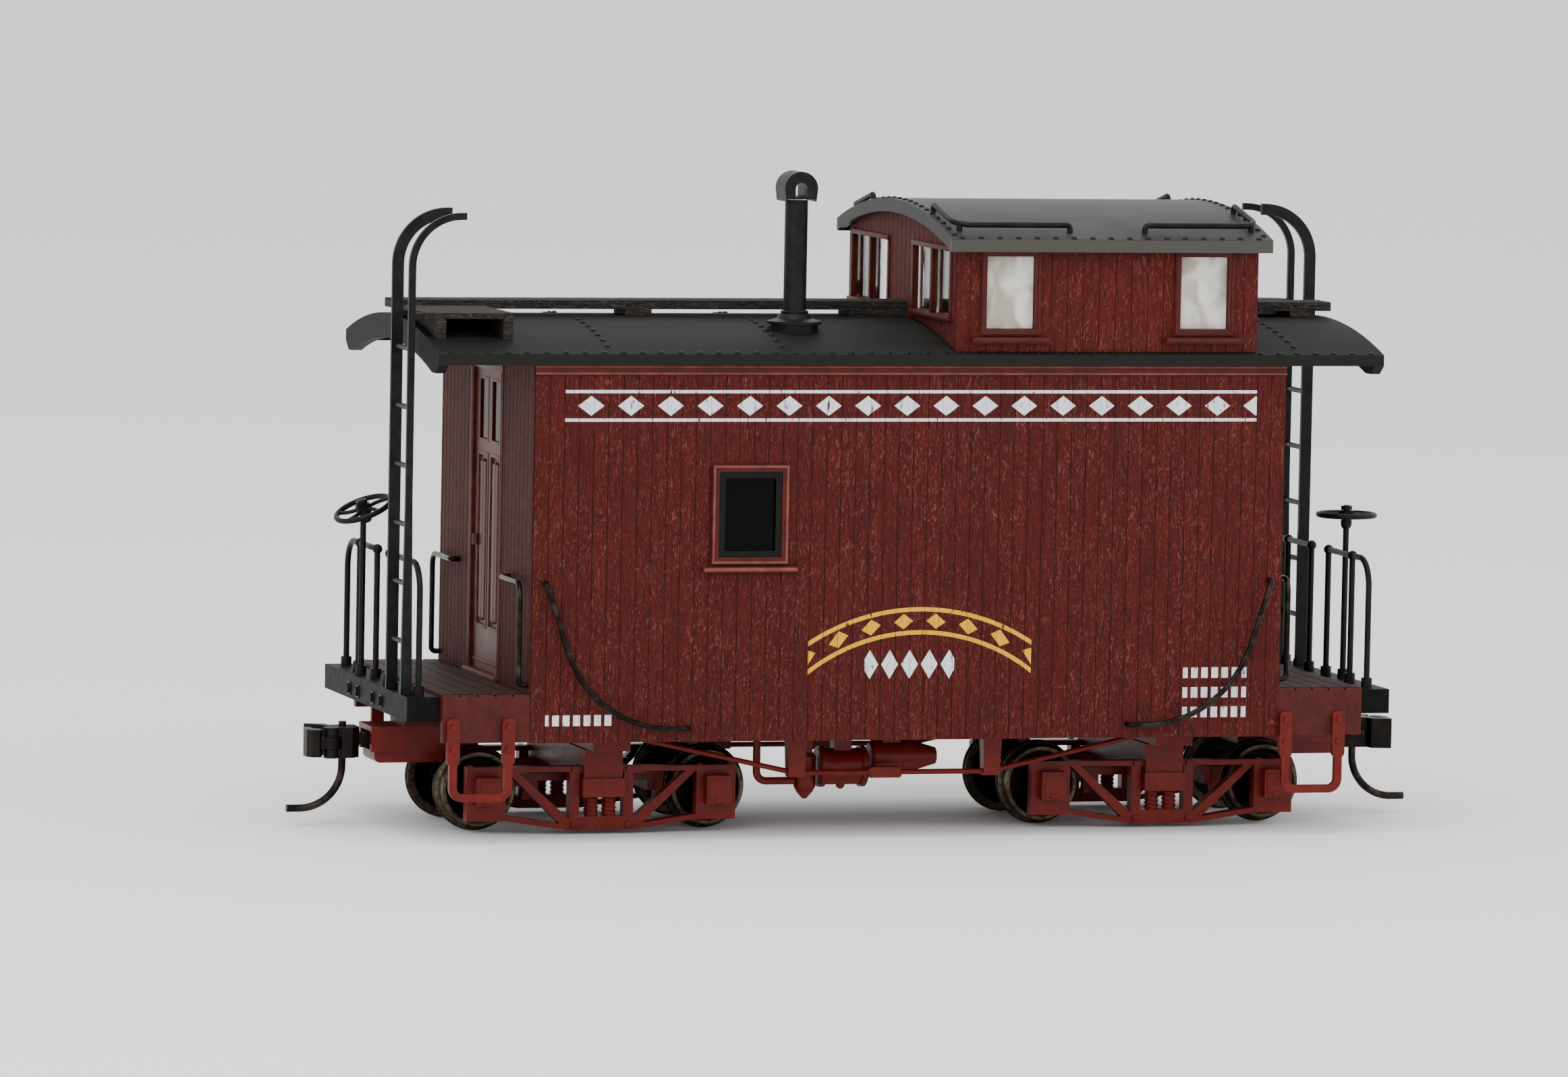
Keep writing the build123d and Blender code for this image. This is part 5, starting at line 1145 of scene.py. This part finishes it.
@dataclass
class Cupola:
    """The cupola's boards, window trims and roof."""

    centre: float = 26.0
    half_length: float = 20.7
    half_width: float = 24.6
    pitch: float = 2.21
    window_offset: float = 13.3
    window_half: float = 3.3
    end_in: float = 6.0
    end_out: float = 22.4
    end_low: float = 68.4
    end_high: float = 76.8
    corner: float = 24.5

    def boards(self, finishes: Finishes, tree: BoardTree) -> None:
        """Boards the cupola's four walls."""
        foot = MAIN_ARCH.at(self.half_width) + 0.04
        head = CUPOLA_ARCH.at(self.half_width, ROOF_SHEET)
        steps = [(k + 0.5) * self.pitch for k in range(-9, 9)]
        edges = [-self.half_length] + steps + [self.half_length]
        run = Boarding()
        for x0, x1 in zip(edges, edges[1:]):
            middle = abs((x0 + x1) / 2)
            for side in (-1, 1):
                face, turn = (0, side, 0), (math.pi / 2, 0, 0 if side < 0 else math.pi)
                parts = [(foot, head)]
                if abs(middle - self.window_offset) < self.window_half:
                    parts = [(foot, 66.2), (77.0, head)]
                for z0, z1 in parts:
                    at = (self.centre + (x0 + x1) / 2, side * self.half_width, (z0 + z1) / 2)
                    run.lay(at, x1 - x0, z1 - z0, face, turn)
        values = {"Along": 22, "Relief": 0.00004, "Seed": 5.0}
        paint = finishes.cupola_boards
        run.piece("cupola_side_boards", paint, "oxide_red", tree, (0.6, 0.6, 3.0), **values)
        run = Boarding()
        self.end_boards(run)
        values = {"Along": 22, "Relief": 0.00005, "Seed": 8.0}
        run.piece("cupola_end_boards", paint, "oxide_red", tree, (0.5, 0.5, 3.0), **values)

    def end_boards(self, run: Boarding) -> None:
        """Lays the boards of both end walls.

        Args:
            run: the boarding that they join.
        """
        inner = [k * 2.0 for k in range(0, 4)]
        outer = [self.end_in + k * (self.end_out - self.end_in) / 8 for k in range(0, 9)]
        for way in (-1, 1):
            x = self.centre + way * self.half_length
            for sign in (-1, 1):
                for y0, y1 in zip(inner, inner[1:]):
                    foot, head = MAIN_ARCH.at(y0) + 0.03, CUPOLA_ARCH.at(y1, ROOF_SHEET)
                    run.end_wall(sign * y0, sign * y1, foot, head, x, way)
                for y0, y1 in zip(outer, outer[1:]):
                    foot, head = MAIN_ARCH.at(y0) + 0.03, CUPOLA_ARCH.at(y1, ROOF_SHEET)
                    run.end_wall(sign * y0, sign * y1, foot, self.end_low - 0.02, x, way)
                    run.end_wall(sign * y0, sign * y1, self.end_high + 0.02, head, x, way)
                foot, head = MAIN_ARCH.at(self.end_out) + 0.03, CUPOLA_ARCH.at(self.corner, ROOF_SHEET)
                run.end_wall(sign * self.end_out, sign * (self.half_width - 0.02), foot, head, x, way)

    def trims(self, finishes: Finishes) -> None:
        """Sills, heads and jambs of the windows."""
        stock = Stock()
        for way in (-1, 1):
            x = self.centre + way * self.half_length
            for sign in (-1, 1):
                for low, high, proud in ((67.75, 68.38, 0.85), (76.82, 77.5, 0.55)):
                    stock.block((x, sign * 5.4, low), (x + way * proud, sign * 23.1, high), 0.14)
                for y in (5.6, 14.2, 22.8):
                    near, far = sign * (y - 0.38), sign * (y + 0.38)
                    stock.block((x, near, 68.38), (x + way * 0.38, far, 76.82), 0.1)
        for x in (self.centre - self.window_offset, self.centre + self.window_offset):
            for side in (-1, 1):
                face = side * (self.half_width + 0.45)
                for a0, a1, b0, b1 in (
                    (x - 3.95, x - 3.68, 66.2, 77.0),
                    (x + 3.68, x + 3.95, 66.2, 77.0),
                    (x - 3.68, x + 3.68, 76.72, 77.0),
                    (x - 3.68, x + 3.68, 66.2, 66.48),
                ):
                    stock.block((a0, face, b0), (a1, face + side * 0.12, b1), 0.05)
                y_sill = side * (self.half_width + 0.82)
                stock.rod([(x - 5.2, y_sill, 65.45), (x + 5.2, y_sill, 65.45)], 0.36, 12)
        stock.piece("cupola_trims", finishes.body, "car", "oxide_red")

    def dress(self, finishes: Finishes) -> None:
        """Gives the cupola's own nodes their finishes."""
        dress(("cupola_walls",), finishes.body)
        dress(("cupola_glazing",), finishes.clear)
        dress(("cupola_roof",), finishes.cupola_roof)
        dress(("cupola_grab_irons",), finishes.iron)


@dataclass
class Roofs:
    """Rivets and walkways of the two roofs, and the smokejack's band."""

    rivet_first: float = -62.5
    rivet_pitch: float = 2.55
    row_pitch: float = 2.5
    seam_first: float = -41.0
    seam_pitch: float = 23.4
    board_half: float = 2.9
    board_top: float = 69.1
    cupola_middle: float = 26.0
    cupola_half: float = 21.05
    cupola_pitch: float = 2.54
    landing_run: float = 16.3
    jack_foot: Point = (-13.5, -14.0, 68.4)
    jack_band: float = 1.62

    def rivets(self, finishes: Finishes, tree: RivetTree) -> None:
        """Rivet rows along the eaves, the seams and the cupola roof's edges."""
        rows: list[dict[str, Any]] = []

        def head(arch: Arch, x: float, y: float) -> None:
            """Adds one rivet on an arched roof."""
            rows.append({"at": (x, y, arch.at(y)), "face": arch.normal(y)})

        for side in (-1, 1):
            for k in range(50):
                head(MAIN_ARCH, self.rivet_first + k * self.rivet_pitch, side * 25.15)
        seams = [self.seam_first + k * self.seam_pitch for k in range(5)]
        for x in seams:
            for k in range(-9, 10):
                y = k * self.row_pitch
                in_cupola = 5.3 < x < 46.7 and abs(y) < 24.7
                if abs(y) > 3 and not in_cupola:
                    head(MAIN_ARCH, x, y)
        low, high = self.cupola_middle - self.cupola_half, self.cupola_middle + self.cupola_half
        for side in (-1, 1):
            for k in range(17):
                head(CUPOLA_ARCH, low + 0.6 + k * self.cupola_pitch, side * 26.2)
        for x in (low - 0.2, high + 0.2):
            for k in range(-10, 11):
                head(CUPOLA_ARCH, x, k * self.row_pitch)
        mesh = tree.run(point_mesh(rows), {"Radius": 0.00042, "Dome": 0.6, "Finish": finishes.rivet})
        settle(mesh, "roof_rivets", finishes.rivet, "car", "black_ironwork")

    def walks(self, finishes: Finishes, tree: BoardTree) -> None:
        """Planks of the running boards and the ladder landings."""
        run = Boarding(proud=0.1, gap=0.22)
        third, plank = 2 * self.board_half / 3, self.landing_run / 4
        turn = (0.0, 0.0, -math.pi / 2)
        for x0, x1 in ((-64.5, 5.2), (46.8, 64.5)):
            for k in (-1, 0, 1):
                run.lay(((x0 + x1) / 2, k * third, self.board_top), third, x1 - x0, (0, 0, 1), turn)
        for way in (-1, 1):
            for k in range(4):
                y = way * (3.4 + plank * (k + 0.5))
                run.lay((way * 58.8, y, 68.4), plank, 11.8, (0, 0, 1), turn)
        grain = (3.0, 0.5, 0.5)
        run.piece("roof_walk_planks", finishes.walk_boards, "black_ironwork", tree, grain, Along=90, Seed=21.0)

    def jack(self, finishes: Finishes) -> None:
        """A band round the foot of the smokejack."""
        stock = Stock()
        x, y, z = self.jack_foot
        angles = [k * math.pi / 12 for k in range(25)]
        out = self.jack_band
        stock.rod([(x + out * math.cos(a), y + out * math.sin(a), z) for a in angles], 0.22, 8)
        stock.piece("smokejack_bands", finishes.iron, "car", "black_ironwork")

    def dress(self, finishes: Finishes) -> None:
        """Gives the roofs' own nodes their finishes."""
        dress(("main_roof",), finishes.roof)
        dress(("running_boards", "ladder_landings"), finishes.walk_boards)
        dress(("smokejack_pipe", "smokejack_collar", "smokejack_hood"), finishes.iron)


@dataclass
class Ends:
    """Platforms, end sills, ladders, railings, hand brakes and steps."""

    platform_in: float = 51.2
    deck: float = 19.4
    half_width: float = 24.4
    plank: float = 2.28

    def planks(self, finishes: Finishes, tree: BoardTree) -> None:
        """Deck planks of both platforms."""
        run = Boarding(proud=0.1, gap=0.14)
        for way in (-1, 1):
            for k in range(5):
                x = way * (self.platform_in + self.plank * (k + 0.5))
                run.lay((x, 0, self.deck), self.plank, 2 * self.half_width - 1.3, (0, 0, 1), (0, 0, 0))
        grain = (0.5, 3.2, 0.5)
        run.piece("platform_planks", finishes.deck_boards, "oxide_red", tree, grain, Along=80, Seed=31.0)

    def fittings(self, finishes: Finishes) -> None:
        """Washers under the sill bolts."""
        stock = Stock()
        for y in (-8.75, -4.15, 4.15, 8.75):
            stock.block((66.98, y - 0.85, 16.35), (67.12, y + 0.85, 18.05), 0.05)
        stock.half_turn()
        stock.piece("sill_washers", finishes.iron, "car", "black_ironwork")

    def dress(self, finishes: Finishes) -> None:
        """Gives the ends' own nodes their finishes."""
        dress(("left_platform", "right_platform"), finishes.body)
        dress(("end_sills",), finishes.sill)
        iron = ("right_ladder", "left_ladder", "right_railing", "left_railing", "brake_staffs")
        dress(iron + ("right_brake_wheel", "left_brake_wheel"), finishes.iron)
        dress(("side_handrails", "end_handrails"), finishes.wire)
        dress(("step_stirrups",), finishes.gear)


@dataclass
class RunningGear:
    """Trucks, wheels, couplers and what hangs under the floor."""

    truck: float = 38.5
    half_base: float = 15.5
    lid_face: float = 15.8

    def springs(self, finishes: Finishes, tree: CoilTree) -> None:
        """Coil springs of both trucks, and the knuckle springs of the couplers."""
        for name, centre in (("left", -self.truck), ("right", self.truck)):
            rows = [
                {"at": (centre + dx, side * 13.3, 2.35), "turn": (0.0, 0.0, 0.0)}
                for dx in (-1.2, 1.2)
                for side in (-1, 1)
            ]
            values = {"Turns": 4.5, "Radius": 0.0008, "Height": 0.0025, "Wire": 0.00019}
            mesh = tree.run(point_mesh(rows), {**values, "Finish": finishes.gear})
            settle(mesh, f"{name}_truck_springs", finishes.gear, f"{name}_truck", "oxide_red")
        for name, way in (("left", -1), ("right", 1)):
            rows = [{"at": (way * 69.0, -way * 1.95, 11.1), "turn": (0.0, way * math.pi / 2, 0.0)}]
            values = {"Turns": 6.0, "Radius": 0.00045, "Height": 0.0019, "Wire": 0.00012}
            mesh = tree.run(point_mesh(rows), {**values, "Finish": finishes.steel})
            settle(mesh, f"{name}_knuckle_spring", finishes.steel, f"{name}_coupler", "blackened_wire")

    def boxes(self, finishes: Finishes) -> None:
        """Hinges and lips of the journal box lids, and the heads of the column bolts."""
        for name, centre in (("left", -self.truck), ("right", self.truck)):
            stock = Stock()
            for end in (-1, 1):
                x = centre + end * self.half_base
                for side in (-1, 1):
                    face = side * self.lid_face
                    hinge = face - side * 0.25
                    stock.rod([(x - 1.35, hinge, 7.55), (x + 1.35, hinge, 7.55)], 0.3, 10)
                    stock.block((x - 1.3, face - side * 0.1, 4.35), (x + 1.3, face + side * 0.12, 7.2), 0.1)
                    stock.block((x - 0.55, face, 4.15), (x + 0.55, face + side * 0.26, 4.75), 0.1)
            for end in (-1, 1):
                for side in (-1, 1):
                    x = centre + end * 3.65
                    for z in (1.25, 8.6):
                        low, high = (x - 0.42, side * 14.15, z - 0.42), (x + 0.42, side * 14.5, z + 0.42)
                        stock.block(low, high, 0.12)
            stock.piece(f"{name}_box_lids", finishes.gear, f"{name}_truck", "oxide_red")

    def dress(self, finishes: Finishes) -> None:
        """Gives the running gear's own nodes their finishes."""
        for side in ("left", "right"):
            dress((f"{side}_truck_frame",), finishes.gear)
            for place in ("inner", "outer"):
                low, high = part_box(f"{side}_{place}_wheels")
                centre = (low + high) / 2
                dress((f"{side}_{place}_wheels",), finishes.wheel(f"Wheel_{side}_{place}", centre))
                dress((f"{side}_{place}_axle",), finishes.steel)
            dress((f"{side}_coupler_head", f"{side}_knuckle"), finishes.coupler)
            dress((f"{side}_trip_pin",), finishes.wire)
            dress((f"{side}_draft_box",), finishes.gear)
        under = ("centre_sill", "body_bolsters", "truss_rods", "queen_posts", "turnbuckles")
        air = ("brake_cylinder", "air_reservoir", "triple_valve", "air_pipe", "draft_box_covers")
        dress(under + air, finishes.gear)
        dress(("kingpin_screws", "cover_screws"), finishes.steel)


def dress(names: Iterable[str], material: bpy.types.Material) -> None:
    """Gives CAD nodes a finish.

    Args:
        names: the nodes.
        material: the finish.
    """
    for name in names:
        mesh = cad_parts[name].data
        mesh.materials.clear()
        mesh.materials.append(material)


# ---- studio ---------------------------------------------------------------------------------


@dataclass
class Studio:
    """Pale floor, soft lamps and the camera."""

    azimuth: float = 16.0715
    elevation: float = 4.6283
    roll: float = 1.1088
    distance: float = 1310.2
    target: Point = (-10.293, 0.0, 37.467)
    lens: float = 227.08

    def floor(self) -> None:
        """A wide pale floor that also fills the background."""
        s = Shader("Studio_floor")
        cloud = s.noise((400.0, 400.0, 400.0), 2.0)
        colour = s.blend(cloud, (0.86, 0.86, 0.86, 1), (0.9, 0.9, 0.9, 1))
        s.coat(colour, 0.9, None, 0.5)
        mesh = bpy.data.meshes.new("studio_floor")
        reach = 14.0
        corners = [(-reach, -reach, 0), (reach, -reach, 0), (reach, reach, 0), (-reach, reach, 0)]
        mesh.from_pydata(corners, [], [(0, 1, 2, 3)])
        mesh.materials.append(s.material)
        plane = bpy.data.objects.new("studio_floor", mesh)
        bpy.context.scene.collection.objects.link(plane)

    def lamp(self, name: str, at: Point, size: float, power: float, aim: Point = (0, 0, 0.03)) -> None:
        """Adds a square soft lamp.

        Args:
            name: its name.
            at: where it hangs, in metres.
            size: the side of its square, in metres.
            power: its power in watts.
            aim: the point that it looks at.
        """
        light = bpy.data.lights.new(name, "AREA")
        light.size = size
        light.energy = power
        lamp = bpy.data.objects.new(name, light)
        lamp.location = at
        lamp.rotation_euler = (Vector(aim) - Vector(at)).to_track_quat("-Z", "Y").to_euler()
        bpy.context.scene.collection.objects.link(lamp)

    def lamps(self) -> None:
        """Soft light from above and in front, with a pale room all round."""
        world = bpy.data.worlds.new("Studio_room")
        world.use_nodes = True
        ground = world.node_tree.nodes["Background"]
        ground.inputs["Color"].default_value = (1.0, 1.0, 1.0, 1.0)
        ground.inputs["Strength"].default_value = 1.35
        bpy.context.scene.world = world
        self.lamp("Lamp_over", (-0.15, -0.25, 0.75), 0.6, 3.2)
        self.lamp("Lamp_front_left", (-0.55, -0.75, 0.45), 0.5, 2.6)
        self.lamp("Lamp_right", (0.7, -0.5, 0.35), 0.4, 1.6)

    def camera(self) -> None:
        """The camera, looking slightly down and along the car."""
        a, e, r = (math.radians(v) for v in (self.azimuth, self.elevation, self.roll))
        ahead = Vector((math.sin(a) * math.cos(e), math.cos(a) * math.cos(e), -math.sin(e)))
        right = Vector((math.cos(a), -math.sin(a), 0))
        up = right.cross(ahead)
        across = right * math.cos(r) + up * math.sin(r)
        top = up * math.cos(r) - right * math.sin(r)
        data = bpy.data.cameras.new("Camera")
        data.lens = self.lens
        data.sensor_width = 36.0
        data.clip_start = 0.05
        data.clip_end = 60.0
        camera = bpy.data.objects.new("Camera", data)
        place = Matrix((across, top, -ahead)).transposed().to_4x4()
        place.translation = (Vector(self.target) - ahead * self.distance) * MM
        camera.matrix_world = place
        bpy.context.scene.collection.objects.link(camera)
        bpy.context.scene.camera = camera


def main() -> None:
    """Builds the looks of the car around its frame and lights the studio."""
    logging.basicConfig(level=logging.INFO, format="%(message)s")
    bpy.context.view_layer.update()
    finishes = Finishes()
    board_tree, rivet_tree, coil_tree = BoardTree(), RivetTree(), CoilTree()
    body, cupola, roofs, ends, gear = Body(), Cupola(), Roofs(), Ends(), RunningGear()
    for part in (body, cupola, roofs, ends, gear):
        part.dress(finishes)
    body.boards(finishes, board_tree)
    body.doors(finishes)
    body.windows(finishes)
    cupola.boards(finishes, board_tree)
    cupola.trims(finishes)
    roofs.rivets(finishes, rivet_tree)
    roofs.walks(finishes, board_tree)
    roofs.jack(finishes)
    ends.planks(finishes, board_tree)
    ends.fittings(finishes)
    gear.springs(finishes, coil_tree)
    gear.boxes(finishes)
    studio = Studio()
    studio.floor()
    studio.lamps()
    studio.camera()


if __name__ == "__main__":
    main()
